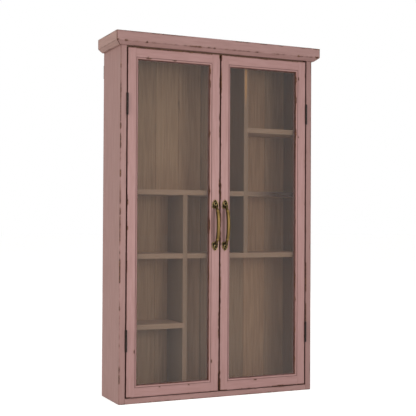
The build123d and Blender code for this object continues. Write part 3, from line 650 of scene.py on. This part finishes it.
def fine_finish(name, axis, spot, stops, roughness, bump, metallic, detail=2.0, limits=(0.0, 1.0)):
    """A hard finish with one fine mottle, which moves its colour, roughness and relief together.
    spot is the mottle's size across and along an axis, and roughness gives its values where the
    mottle is at its limits. bump is the relief's strength and depth. Sizes are in millimetres."""
    material, output = new_material(name)
    place = add_node(material, "ShaderNodeTexCoord").outputs["Object"]
    spot_place = add_node(
        material, "ShaderNodeMapping", {0: place, "Scale": grain_scale(axis, *spot)}
    )
    mottle = add_node(material, "ShaderNodeTexNoise", {0: spot_place, "Detail": detail}).outputs[0]
    colour = add_node(material, "ShaderNodeValToRGB", {0: mottle}, stops=stops)
    low, high = limits
    dull = add_node(
        material,
        "ShaderNodeMapRange",
        {0: mottle, 1: low, 2: high, 3: roughness[0], 4: roughness[1]},
    )
    relief = add_node(
        material,
        "ShaderNodeBump",
        {"Height": mottle, "Strength": bump[0], "Distance": bump[1] * mm},
    )
    shader = add_node(
        material,
        "ShaderNodeBsdfPrincipled",
        {"Base Color": colour, "Metallic": metallic, "Roughness": dull, "Normal": relief},
    )
    material.node_tree.links.new(shader.outputs[0], output.inputs[0])
    return material, shader


# Satin and almost black, going brown in patches a few millimetres wide where the bluing is thin
hinge_steel, _ = fine_finish(
    "oil_blackened_steel",
    "Z",
    spot=(2.5, 4),
    stops=[(0.3, "#120D0B"), (0.55, "#221914"), (0.75, "#453428")],
    roughness=(0.42, 0.62),
    bump=(0.2, 0.1),
    metallic=0.6,
    detail=4.0,
    limits=(0.3, 0.7),
)
for side in ("left", "right"):
    for level in ("upper", "lower"):
        finish_nodes(hinge_steel, f"{side}_{level}_hinge_carcass_leaf")
        finish_nodes(hinge_steel, f"{side}_{level}_hinge_door_leaf")
finish_nodes(hinge_steel, "hinge_pins")

# Catch, hanger plates and screws
# A moulded plastic catch with two magnets sits under the header rail, and two keyhole plates are
# let on to the back. Plates and screws are zinc plated steel.

# Aged to a dull grey brown with darker spangles, as the edge of the left plate shows
zinc_steel, _ = fine_finish(
    "aged_dark_zinc_plated_steel",
    "Z",
    spot=(1.6, 2.4),
    stops=[(0.3, "#3E3833"), (0.6, "#575049"), (0.8, "#7A7368")],
    roughness=(0.55, 0.35),
    bump=(0.15, 0.05),
    metallic=1.0,
    detail=3.0,
    limits=(0.3, 0.7),
)
finish_nodes(zinc_steel, "carcass_hinge_screws", "catch_screws", "hanger_plates", "hanger_screws")

# A soft brown shine over the fine spark texture of the mould, drawn 0.9 mm wide so that it shows
catch_plastic, catch_shader = fine_finish(
    "moulded_brown_polystyrene",
    "X",
    spot=(0.9, 0.9),
    stops=[(0.3, "#46301F"), (0.7, "#553C28")],
    roughness=(0.4, 0.55),
    bump=(0.2, 0.05),
    metallic=0.0,
)
catch_shader.inputs["IOR"].default_value = 1.55
finish_nodes(catch_plastic, "catch_housing")

# Ground flat and nickel plated: a close grey shine with grinding lines, drawn 0.6 mm apart
magnet_plate, _ = fine_finish(
    "nickel_plated_magnet",
    "X",
    spot=(0.6, 20),
    stops=[(0.3, "#8E8C88"), (0.7, "#A9A7A3")],
    roughness=(0.25, 0.45),
    bump=(0.15, 0.03),
    metallic=1.0,
)
finish_nodes(magnet_plate, "catch_magnets")

# Door frames
# Two frames of pine stiles and rails, tenoned together and painted all over. Round each pane
# runs a quirk and a small bead that slopes down to the glass, mitred at the corners.
door_low = 18.0
door_high = 997.0
door_thickness = 18.0
stile_flat = 25.0
quirk_depth = 1.5
bead_width = 7.5
pane_depth = 7.0
rebate_wall = 2.5


def moulded_edge(flat):
    """The bead's section, from the quirk inwards and from the front face back."""
    sight_edge = flat + bead_width
    # The quirk, the foot of the bead's slope and the sight edge carry dirt and painted shade
    return [
        corner(flat, quirk_depth, dirt_and_shade=0.5),
        corner(flat + 1.0, quirk_depth, dirt_and_shade=0.5),
        corner(flat + 1.0, 0.6, worn=0.3),
        corner(flat + 3.2, 1.15),
        corner(flat + 4.9, 1.9, worn=0.2),
        corner(flat + 6.0, 2.9, worn=0.85, dirt_and_shade=0.7),
        corner(sight_edge, 5.4, 0.6, 1.0, dirt_and_shade=1.0),
        corner(sight_edge, pane_depth, worn=0.6, dirt_and_shade=1.0),
        corner(flat + rebate_wall, pane_depth),
        corner(flat + rebate_wall, door_thickness),
        corner(flat, door_thickness),
    ]


door_tones = ("#A77F7A", "#B48B87", "#BE9794")
paint_stile = chalk_paint("chalk_paint_door_stiles", "Z", door_tones)
paint_rail = chalk_paint("chalk_paint_door_rails", "X", door_tones)
# Each member: the place of its outer edge and the way in from there, the width of its flat, the
# easing and wear of its outer arris, and the dirt and painted shade in the gap beside it
members = (
    ("hinge_stile", 286.0, -1, stile_flat, 1.0, 0.62, 0.85),
    ("meeting_stile", 1.5, 1, stile_flat, 1.8, 0.9, 1.0),
    ("top_rail", door_high, -1, 26.5, 1.6, 1.0, 1.0),
    ("bottom_rail", door_low, 1, 26.0, 1.2, 0.72, 0.3),
)
# Where the quirks of the stiles run, from low to high, and those of the rails, from the meeting
# stile out to the hinge stile
quirk_upright = (44.0, 970.5)
quirk_level = (26.5, 261.0)
# Where the photograph shows each member chipped or rubbed, as (corner, from, to, strength): first
# along its outer edge and flat, then along its bead
chips = {
    "left_hinge_stile": ([(0, 556, 569, 1.0), (0, 485, 495, 1.0), (1, 139, 150, 1.0)], []),
    "left_meeting_stile": (
        [(0, 984, 997, 1.0), (0, 610, 622, 1.0), (1, 98, 108, 1.0)],
        [
            (5, 934, 955, 1.0), (4, 940, 951, 0.95), (5, 885, 922, 1.0), (4, 898, 917, 0.9),
            (5, 850, 872, 0.95), (5, 756, 776, 1.0), (4, 762, 771, 0.9), (5, 586, 610, 1.0),
            (4, 592, 604, 0.9), (5, 477, 520, 1.0), (4, 486, 514, 0.95), (5, 342, 356, 1.0),
        ],
    ),
    "left_top_rail": (
        [(0, 120, 262, 0.78), (0, 27, 112, 0.64), (1, 222, 227, 0.8)],
        [(2, 214, 231, 0.85), (3, 216, 229, 0.95), (2, 139, 152, 0.9), (3, 141, 150, 0.95)],
    ),
    "left_bottom_rail": ([(1, 183, 191, 1.0), (1, 92, 99, 1.0)], []),
    "right_hinge_stile": (
        [(1, 939, 948, 1.0), (1, 763, 772, 0.95)],
        [
            (5, 930, 953, 1.0), (4, 936, 949, 0.95), (5, 862, 896, 1.0), (4, 870, 889, 0.9),
            (5, 762, 795, 1.0), (4, 770, 790, 0.9), (5, 338, 352, 1.0), (5, 268, 282, 1.0),
            (4, 272, 280, 0.9), (5, 177, 188, 0.95), (5, 88, 100, 1.0),
        ],
    ),
    "right_meeting_stile": ([(0, 982, 997, 1.0), (0, 612, 620, 0.9)], []),
    "right_top_rail": (
        [(0, 27, 150, 0.66), (0, 163, 262, 0.6)],
        [(5, 62, 76, 0.85), (6, 178, 196, 0.9)],
    ),
    "right_bottom_rail": (
        [(0, 172, 259, 0.72), (0, 195, 212, 1.0), (1, 116, 123, 1.0)],
        [(6, 107, 116, 1.0)],
    ),
}
for side, sign in (("left", -1), ("right", 1)):
    for number, member_values in enumerate(members):
        member, outer_edge, inwards, flat, easing, outer_wear, gap_dirt_and_shade = member_values
        upright = member.endswith("stile")
        low, high = quirk_upright if upright else quirk_level

        def in_door(across, deep, along):
            place = outer_edge + inwards * across
            x, z = (place, along) if upright else (along, place)
            return sign * x, front_face + deep, z

        frame_member = empty_shape()
        flat_chips, bead_chips = chips[f"{side}_{member}"]
        seed = (7 if side == "left" else 11) + number
        add_board(
            frame_member,
            [
                corner(0, 0, easing, outer_wear),
                # The flat's inner arris and the face in the gap carry dirt and painted shade
                corner(flat, 0, 0.5, 0.15, dirt_and_shade=0.4),
                corner(flat, door_thickness),
                corner(0, door_thickness, 0.8, 0.5, dirt_and_shade=gap_dirt_and_shade),
            ],
            lambda at: door_low if upright else low,
            lambda at: door_high if upright else high,
            in_door,
            seed=seed,
            free_ends=(0.8, 0.7) if upright else (0.0, 0.0),
            rubs=flat_chips,
            quirk_span=quirk_upright if upright else None,
        )
        add_board(
            frame_member,
            moulded_edge(flat),
            lambda at: low + at.x - flat,
            lambda at: high - at.x + flat,
            in_door,
            seed=seed + 20,
            rubs=bead_chips,
        )
        finishes = [paint_stile if upright else paint_rail]
        replaced = f"{side}_door_{member}"
        make_piece(f"{side}_{member}", frame_member, finishes, f"{side}_door", replaced)

# Panes and glazing strips
# Plain float glass, 3 mm thick, bedded in the frame's rebate. Four pinned pine strips, painted
# with the frame, hold it from behind.

# Almost nothing is seen of it face on, but for a faint mirror that grows at a slant
glass, glass_output = new_material("clear_float_glass")
facing = add_node(glass, "ShaderNodeLayerWeight", {"Blend": 0.5}).outputs["Facing"]
edge_power = add_node(glass, "ShaderNodeMath", {0: facing, 1: 5.0}, operation="POWER")
mirror_share = add_node(glass, "ShaderNodeMapRange", {0: edge_power, 3: 0.03, 4: 1.0})
glass_place = add_node(glass, "ShaderNodeTexCoord").outputs["Object"]
glass_wave_place = add_node(
    glass, "ShaderNodeMapping", {0: glass_place, "Scale": grain_scale("Z", 60, 90)}
)
glass_wave = add_node(glass, "ShaderNodeTexNoise", {0: glass_wave_place, "Detail": 1.0})
glass_bump = add_node(
    glass, "ShaderNodeBump", {"Height": glass_wave, "Strength": 0.05, "Distance": 0.02 * mm}
)
glass_roughness = add_node(glass, "ShaderNodeMapRange", {0: glass_wave, 3: 0.001, 4: 0.003})
# The pane passes only about half of a lamp's light at each face, though it shows what is behind
# it almost fully: painted shade that leaves the inside lit softly by the room
glass_path = add_node(glass, "ShaderNodeLightPath")
glass_tint_and_painted_shade = add_node(
    glass,
    "ShaderNodeMix",
    {0: glass_path.outputs["Is Shadow Ray"], 6: linear("#FCFDFC"), 7: linear("#BCBEBB")},
    data_type="RGBA",
)
see_through = add_node(glass, "ShaderNodeBsdfTransparent", {"Color": glass_tint_and_painted_shade.outputs[2]})
mirror = add_node(
    glass, "ShaderNodeBsdfAnisotropic", {"Roughness": glass_roughness, "Normal": glass_bump}
)
pane = add_node(glass, "ShaderNodeMixShader", {0: mirror_share, 1: see_through, 2: mirror})
glass.node_tree.links.new(pane.outputs[0], glass_output.inputs[0])
for side in ("left", "right"):
    finish_nodes(glass, f"{side}_door_glass")
    finish_nodes(paint_stile, f"{side}_door_glazing_strips")

# Pulls
# Bow pulls cast in brass: a scalloped leaf plate at each end, with a raised rim round a hollow,
# a boss for the screw, and a bow that swells at the grip. Aged dark in the hollows.
brass, brass_output = new_material("antiqued_cast_brass")
brass_place = add_node(brass, "ShaderNodeTexCoord").outputs["Object"]
brass_cloud_place = add_node(
    brass, "ShaderNodeMapping", {0: brass_place, "Scale": grain_scale("Z", 3.5, 7)}
)
brass_cloud = add_node(
    brass, "ShaderNodeTexNoise", {0: brass_cloud_place, "Detail": 4.0, "Roughness": 0.6}
)
# Polished by hands where it stands out, brown on the flanks and dark with patina in the hollows;
# black round the screws as painted shade of their deep holes
patina_and_hole_shade = add_node(brass, "ShaderNodeAttribute", attribute_name="patina_and_hole_shade")
polish = add_node(
    brass,
    "ShaderNodeMath",
    {0: brass_cloud, 1: 0.5, 2: patina_and_hole_shade.outputs["Fac"]},
    operation="MULTIPLY_ADD",
)
polish = add_node(brass, "ShaderNodeMapRange", {0: polish, 1: 1.25, 2: 0.25})
brass_colour = add_node(
    brass,
    "ShaderNodeValToRGB",
    {0: polish},
    stops=[(0.0, "#090604"), (0.3, "#1F160B"), (0.62, "#6C552B"), (0.85, "#8C7240"), (1.0, "#B8A06A")],
)
brass_roughness = add_node(brass, "ShaderNodeMapRange", {0: polish, 3: 0.55, 4: 0.3})
brass_pit_place = add_node(
    brass, "ShaderNodeMapping", {0: brass_place, "Scale": grain_scale("Z", 1.2, 1.2)}
)
brass_pits = add_node(brass, "ShaderNodeTexNoise", {0: brass_pit_place, "Detail": 2.0})
brass_bump = add_node(
    brass, "ShaderNodeBump", {"Height": brass_pits, "Strength": 0.25, "Distance": 0.12 * mm}
)
brass_shader = add_node(
    brass,
    "ShaderNodeBsdfPrincipled",
    {
        "Base Color": brass_colour,
        "Metallic": 0.75,
        "Roughness": brass_roughness,
        "Normal": brass_bump,
    },
)
brass.node_tree.links.new(brass_shader.outputs[0], brass_output.inputs[0])

pull_x = 16.0
upper_screw = 561.5
lower_screw = 436.5
grip_z = 499.0
bow_reach = 24.5
bow_half_height = 54.0
bow_squareness = 2.4
grip_half_length = 42.0
collar_at = 41.5
plate_half_width = 10.4
plate_tip = 12.6
plate_root = 15.0
plate_edge = 0.5
hole_radius = 3.5
hole_floor = 1.9
boss_radius = 4.5
boss_height = 5.2
boss_slope = 5.0
field_height = 1.0
flute_height = 0.3
flutes = 9
rim_inset = 1.2
rim_foot = 0.9
rim_height = 2.9
rim_half_width = 0.95
bow_radius = 3.8
grip_swell = 2.0
foot_swell = 0.6
collar_swell = 0.5
bow_flatness = 0.88
# Half of the leaf's outline as arcs through three points, in shares of its width and length
leaf_lobes = [
    ((0.0, 1.0), (0.52, 0.64), (0.86, 0.1)),
    ((0.86, 0.1), (0.92, -0.12), (0.82, -0.34)),
    ((0.82, -0.34), (1.0, -0.62), (0.7, -0.88)),
    ((0.7, -0.88), (0.38, -0.97), (0.0, -1.0)),
]


def arc_points(start, middle, end, steps):
    """Points along the circle through three points, without the last one."""
    (ax, ay), (bx, by), (cx, cy) = start, middle, end
    d = 2 * (ax * (by - cy) + bx * (cy - ay) + cx * (ay - by))
    a2, b2, c2 = ax * ax + ay * ay, bx * bx + by * by, cx * cx + cy * cy
    ux = (a2 * (by - cy) + b2 * (cy - ay) + c2 * (ay - by)) / d
    uy = (a2 * (cx - bx) + b2 * (ax - cx) + c2 * (bx - ax)) / d
    radius = hypot(ax - ux, ay - uy)
    turn_start = atan2(ay - uy, ax - ux)
    turn_end = atan2(cy - uy, cx - ux)
    turn_middle = atan2(by - uy, bx - ux)
    sweep = (turn_end - turn_start) % (2 * pi)
    if (turn_middle - turn_start) % (2 * pi) > sweep:
        sweep -= 2 * pi
    turns = [turn_start + sweep * i / steps for i in range(steps)]
    return [(ux + radius * cos(turn), uy + radius * sin(turn)) for turn in turns]


half_leaf = []
for lobe in leaf_lobes:
    in_mm = [(x * plate_half_width, y * (plate_tip if y > 0 else plate_root)) for x, y in lobe]
    half_leaf += arc_points(*in_mm, steps=9)
half_leaf.append((0.0, -plate_root))
leaf_rim = half_leaf + [(-x, y) for x, y in reversed(half_leaf[1:-1])]


def leaf_height(distance, from_rim, turn):
    """Height of the plate's face above the door, at a distance from the screw."""
    if distance <= hole_radius:
        return hole_floor
    rim = rim_foot + rim_height * exp(-(((from_rim - rim_inset) / rim_half_width) ** 2))
    field = field_height + flute_height * cos(flutes * turn) * min(1.0, from_rim / 3)
    boss = boss_height - boss_slope * max(0.0, distance - boss_radius)
    return max(rim, field, boss)


def add_leaf(work, centre_x, centre_z, up):
    """A leaf plate as a closed shell about its screw, its tip towards up."""
    rings = []
    for share in [0.1, 0.2] + [0.25 + 0.75 * i / 26 for i in range(27)]:
        ring = []
        for x, y in leaf_rim:
            reach = hypot(x, y)
            distance = share * reach
            height = leaf_height(distance, reach - distance, atan2(x, y))
            if share == 1.0:
                height = plate_edge
            at = Vector((centre_x + x * share, front_face - height, centre_z + up * y * share))
            ring.append(work.verts.new(at * mm))
        rings.append(ring)
    seat = [Vector((centre_x + x, front_face, centre_z + up * y)) * mm for x, y in leaf_rim]
    rings.append([work.verts.new(at) for at in seat])
    middle = work.verts.new(Vector((centre_x, front_face - hole_floor, centre_z)) * mm)
    count = len(leaf_rim)
    for i in range(count):
        work.faces.new((middle, rings[0][i], rings[0][(i + 1) % count]))
    for inner, outer in zip(rings, rings[1:]):
        for i in range(count):
            j = (i + 1) % count
            work.faces.new((inner[i], outer[i], outer[j], inner[j]))
    work.faces.new(rings[-1])


def bow_point(turn):
    """Reach out from the door and height of the bow's middle line, a flattened half ellipse."""
    reach = bow_reach * (1 - abs(cos(turn)) ** bow_squareness) ** (1 / bow_squareness)
    return reach, -bow_half_height * cos(turn)


def add_bow(work, centre_x):
    """The bow, from foot to foot, swelling at the grip and with a collar at each end of it."""
    rings = []
    steps = 84
    sides = 26
    for step in range(steps + 1):
        turn = pi * step / steps
        reach, height = bow_point(turn)
        before = bow_point(max(0.0, turn - 0.01))
        after = bow_point(min(pi, turn + 0.01))
        grip = 1 / (1 + exp((abs(height) - grip_half_length) / 3.5))
        foot = exp(-(((bow_half_height - abs(height)) / 4.5) ** 2))
        collar = exp(-(((abs(height) - collar_at) / 1.8) ** 2))
        radius = bow_radius + grip_swell * grip + foot_swell * foot + collar_swell * collar
        centre = Vector((centre_x, front_face - reach, grip_z + height))
        along = Vector((0, before[0] - after[0], after[1] - before[1])).normalized()
        across = along.cross(Vector((1, 0, 0)))
        ring = []
        for i in range(sides):
            angle = 2 * pi * i / sides
            arm = Vector((cos(angle) * radius, 0, 0)) + across * sin(angle) * radius * bow_flatness
            ring.append(work.verts.new((centre + arm) * mm))
        rings.append(ring)
    for low, high in zip(rings, rings[1:]):
        for i in range(sides):
            j = (i + 1) % sides
            work.faces.new((low[i], high[i], high[j], low[j]))
    work.faces.new(rings[0])
    work.faces.new(rings[-1])


def patina_and_hole_shade_at(point, normal, centre_x):
    """How dark the brass is at a point of the casting, from 0 to 1. It is black in the screw's
    hollow as painted shade of that deep hole, dark with patina in the plate's hollows, brown on
    the flanks and bright on the rims and collars."""
    out = front_face - point.y
    beside_screw = min(abs(point.z - upper_screw), abs(point.z - lower_screw))
    from_screw = hypot(point.x - centre_x, beside_screw)
    # Painted shade: the screw's deep hole is black
    if from_screw < 3.8:
        return 1.0
    if out < 5.6 and from_screw < 17:
        return 0.9 * max(0.0, min(1.0, (2.4 - out) / 0.9))
    rubbed_collar = 0.25 * exp(-(((abs(point.z - grip_z) - collar_at) / 2.5) ** 2))
    flank = max(0.0, min(1.0, (normal.y + 0.93) / 0.8))
    return 0.37 - rubbed_collar + 0.5 * flank


for side, sign in (("left", -1), ("right", 1)):
    rough_mesh = bpy.data.meshes.new(f"{side}_bow_pull")
    work = bmesh.new()
    add_leaf(work, sign * pull_x, upper_screw, 1)
    add_leaf(work, sign * pull_x, lower_screw, -1)
    add_bow(work, sign * pull_x)
    bmesh.ops.recalc_face_normals(work, faces=work.faces)
    work.to_mesh(rough_mesh)
    work.free()
    rough_pull = bpy.data.objects.new(f"{side}_bow_pull_rough", rough_mesh)
    bpy.context.scene.collection.objects.link(rough_pull)
    # Remeshed and smoothed, so that bow, boss and plates run together as one casting
    melt = rough_pull.modifiers.new("melt", "REMESH")
    melt.mode = "VOXEL"
    melt.voxel_size = 0.45 * mm
    soften = rough_pull.modifiers.new("soften", "SMOOTH")
    soften.factor = 0.5
    soften.iterations = 2
    settled = rough_pull.evaluated_get(bpy.context.evaluated_depsgraph_get())
    casting_mesh = bpy.data.meshes.new_from_object(settled)
    bpy.data.objects.remove(rough_pull)
    casting_mesh.name = f"{side}_bow_pull_casting"
    for polygon in casting_mesh.polygons:
        polygon.use_smooth = True
    patinas_and_hole_shade = [patina_and_hole_shade_at(v.co / mm, v.normal, sign * pull_x) for v in casting_mesh.vertices]
    casting_mesh.attributes.new("patina_and_hole_shade", "FLOAT", "POINT").data.foreach_set("value", patinas_and_hole_shade)
    casting_mesh.materials.clear()
    casting_mesh.materials.append(brass)
    casting = bpy.data.objects.new(f"{side}_bow_pull", casting_mesh)
    bpy.context.scene.collection.objects.link(casting)
    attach(casting, f"{side}_door")
    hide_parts(f"{side}_door_pull")

# Screws and strike plates on the doors
# Slotted steel screws hold the hinge leaves and the strike plates. The pulls' own screws are
# brass, sunk deep in their bosses.

# Gone almost black, with hardly any shine: aged dark, and darker still as painted shade of the
# deep holes they sit in
black_brass_and_hole_shade, _ = fine_finish(
    "blackened_brass_screws",
    "Z",
    spot=(1.0, 1.0),
    stops=[(0.3, "#0C0805"), (0.7, "#1B130B")],
    roughness=(0.6, 0.8),
    bump=(0.2, 0.05),
    metallic=0.5,
)
for side in ("left", "right"):
    finish_nodes(black_brass_and_hole_shade, f"{side}_door_pull_screws")
    finish_nodes(zinc_steel, f"{side}_door_hinge_screws")
    finish_nodes(zinc_steel, f"{side}_door_strike_plate", f"{side}_door_strike_screw")

# Floor, backdrop, lamps and camera
# A plain pale floor and a white surround, lit by an even sky, one soft lamp nearly in front, a
# large one at the left and one high behind. The camera stands where the photograph's did.

# Matt paint that shows nothing but the shadow, and is lifted to white for the eye
floor_material, floor_output = new_material("plain_matt_studio_floor")
floor_place = add_node(floor_material, "ShaderNodeTexCoord").outputs["Object"]
floor_grain_place = add_node(
    floor_material, "ShaderNodeMapping", {0: floor_place, "Scale": grain_scale("X", 400, 400)}
)
floor_grain = add_node(floor_material, "ShaderNodeTexNoise", {0: floor_grain_place, "Detail": 2.0})
floor_colour = add_node(
    floor_material,
    "ShaderNodeValToRGB",
    {0: floor_grain},
    stops=[(0.3, "#CAC9C8"), (0.7, "#CECDCC")],
)
floor_paint = add_node(
    floor_material, "ShaderNodeBsdfDiffuse", {"Color": floor_colour, "Roughness": 0.5}
)
floor_path = add_node(floor_material, "ShaderNodeLightPath")
floor_seen = add_node(
    floor_material,
    "ShaderNodeMath",
    {0: floor_path.outputs["Is Camera Ray"], 1: floor_path.outputs["Is Glossy Ray"]},
    operation="MAXIMUM",
)
floor_lift = add_node(
    floor_material, "ShaderNodeMath", {0: floor_seen, 1: 0.76}, operation="MULTIPLY"
)
floor_glow = add_node(floor_material, "ShaderNodeEmission", {"Strength": floor_lift})
floor_sum = add_node(floor_material, "ShaderNodeAddShader", {0: floor_paint, 1: floor_glow})
floor_material.node_tree.links.new(floor_sum.outputs[0], floor_output.inputs[0])
floor_reach = 30.0
floor_signs = ((-1, -1), (1, -1), (1, 1), (-1, 1))
floor_corners = [(x * floor_reach, y * floor_reach, 0) for x, y in floor_signs]
floor_mesh = bpy.data.meshes.new("studio_floor")
floor_mesh.from_pydata(floor_corners, [], [(0, 1, 2, 3)])
floor_mesh.materials.append(floor_material)
floor = bpy.data.objects.new("studio_floor", floor_mesh)
bpy.context.scene.collection.objects.link(floor)

scene = bpy.context.scene
scene.world = bpy.data.worlds.new("white_studio")
scene.world.use_nodes = True
scene.world.node_tree.nodes.clear()
world_output = add_node(scene.world, "ShaderNodeOutputWorld")
world_path = add_node(scene.world, "ShaderNodeLightPath")
seen = add_node(
    scene.world,
    "ShaderNodeMath",
    {0: world_path.outputs["Is Camera Ray"], 1: world_path.outputs["Is Glossy Ray"]},
    operation="MAXIMUM",
)
seen = add_node(
    scene.world,
    "ShaderNodeMath",
    {0: seen, 1: world_path.outputs["Is Transmission Ray"]},
    operation="MAXIMUM",
)
sky_strength = add_node(scene.world, "ShaderNodeMapRange", {0: seen, 3: 0.4, 4: 1.0})
sky = add_node(
    scene.world, "ShaderNodeBackground", {"Color": linear("#FFFFFF"), "Strength": sky_strength}
)
scene.world.node_tree.links.new(sky.outputs[0], world_output.inputs[0])
scene.world.cycles.sampling_method = "NONE"

door_plane = front_face * mm
door_middle = 0.52


def soft_lamp(name, azimuth, height, distance, size, power, aim, colour, spread):
    """A square lamp, placed from the middle of the doors by its azimuth in degrees to the right
    and its height, and aimed at a point of the doors' plane, all in metres."""
    lamp_data = bpy.data.lights.new(name, "AREA")
    lamp_data.size = size
    lamp_data.energy = power
    lamp_data.color = colour
    lamp_data.spread = radians(spread)
    lamp_data.cycles.use_multiple_importance_sampling = False
    lamp = bpy.data.objects.new(name, lamp_data)
    scene.collection.objects.link(lamp)
    turn = radians(azimuth)
    lamp.location = (sin(turn) * distance, door_plane - cos(turn) * distance, door_middle + height)
    towards = Vector((aim[0], door_plane, aim[1])) - lamp.location
    lamp.rotation_euler = towards.to_track_quat("-Z", "Y").to_euler()
    return lamp


soft_lamp("key_lamp", 9.5, 0.24, 2.2, 0.6, 5.1, (-0.16, 0.5), (1, 1, 1), 86)
fill_lamp = soft_lamp("fill_lamp", -70, 0.2, 3.0, 2.0, 37.0, (0.0, 0.52), (1, 0.98, 0.88), 180)
fill_lamp.visible_glossy = False
rear_lamp = soft_lamp("rear_lamp", 150, 1.9, 3.0, 2.0, 26.0, (0.0, 0.52), (1, 1, 1), 180)
rear_lamp.visible_glossy = False

camera_data = bpy.data.cameras.new("camera")
camera_data.sensor_width = 36.0
camera_data.lens = 79.28
camera_data.clip_end = 100.0
camera = bpy.data.objects.new("camera", camera_data)
scene.collection.objects.link(camera)
# Turned to the right, tilted a little up and rolled, in radians, as fitted to the photograph
camera_turn, camera_tilt, camera_roll = -0.430025, 0.014804, 0.005238
camera.matrix_world = (
    Matrix.Translation((-1.14463, -2.48692, 0.50937))
    @ Matrix.Rotation(camera_turn, 4, "Z")
    @ Matrix.Rotation(radians(90) + camera_tilt, 4, "X")
    @ Matrix.Rotation(camera_roll, 4, "Z")
)
scene.camera = camera
scene.view_settings.view_transform = "Standard"
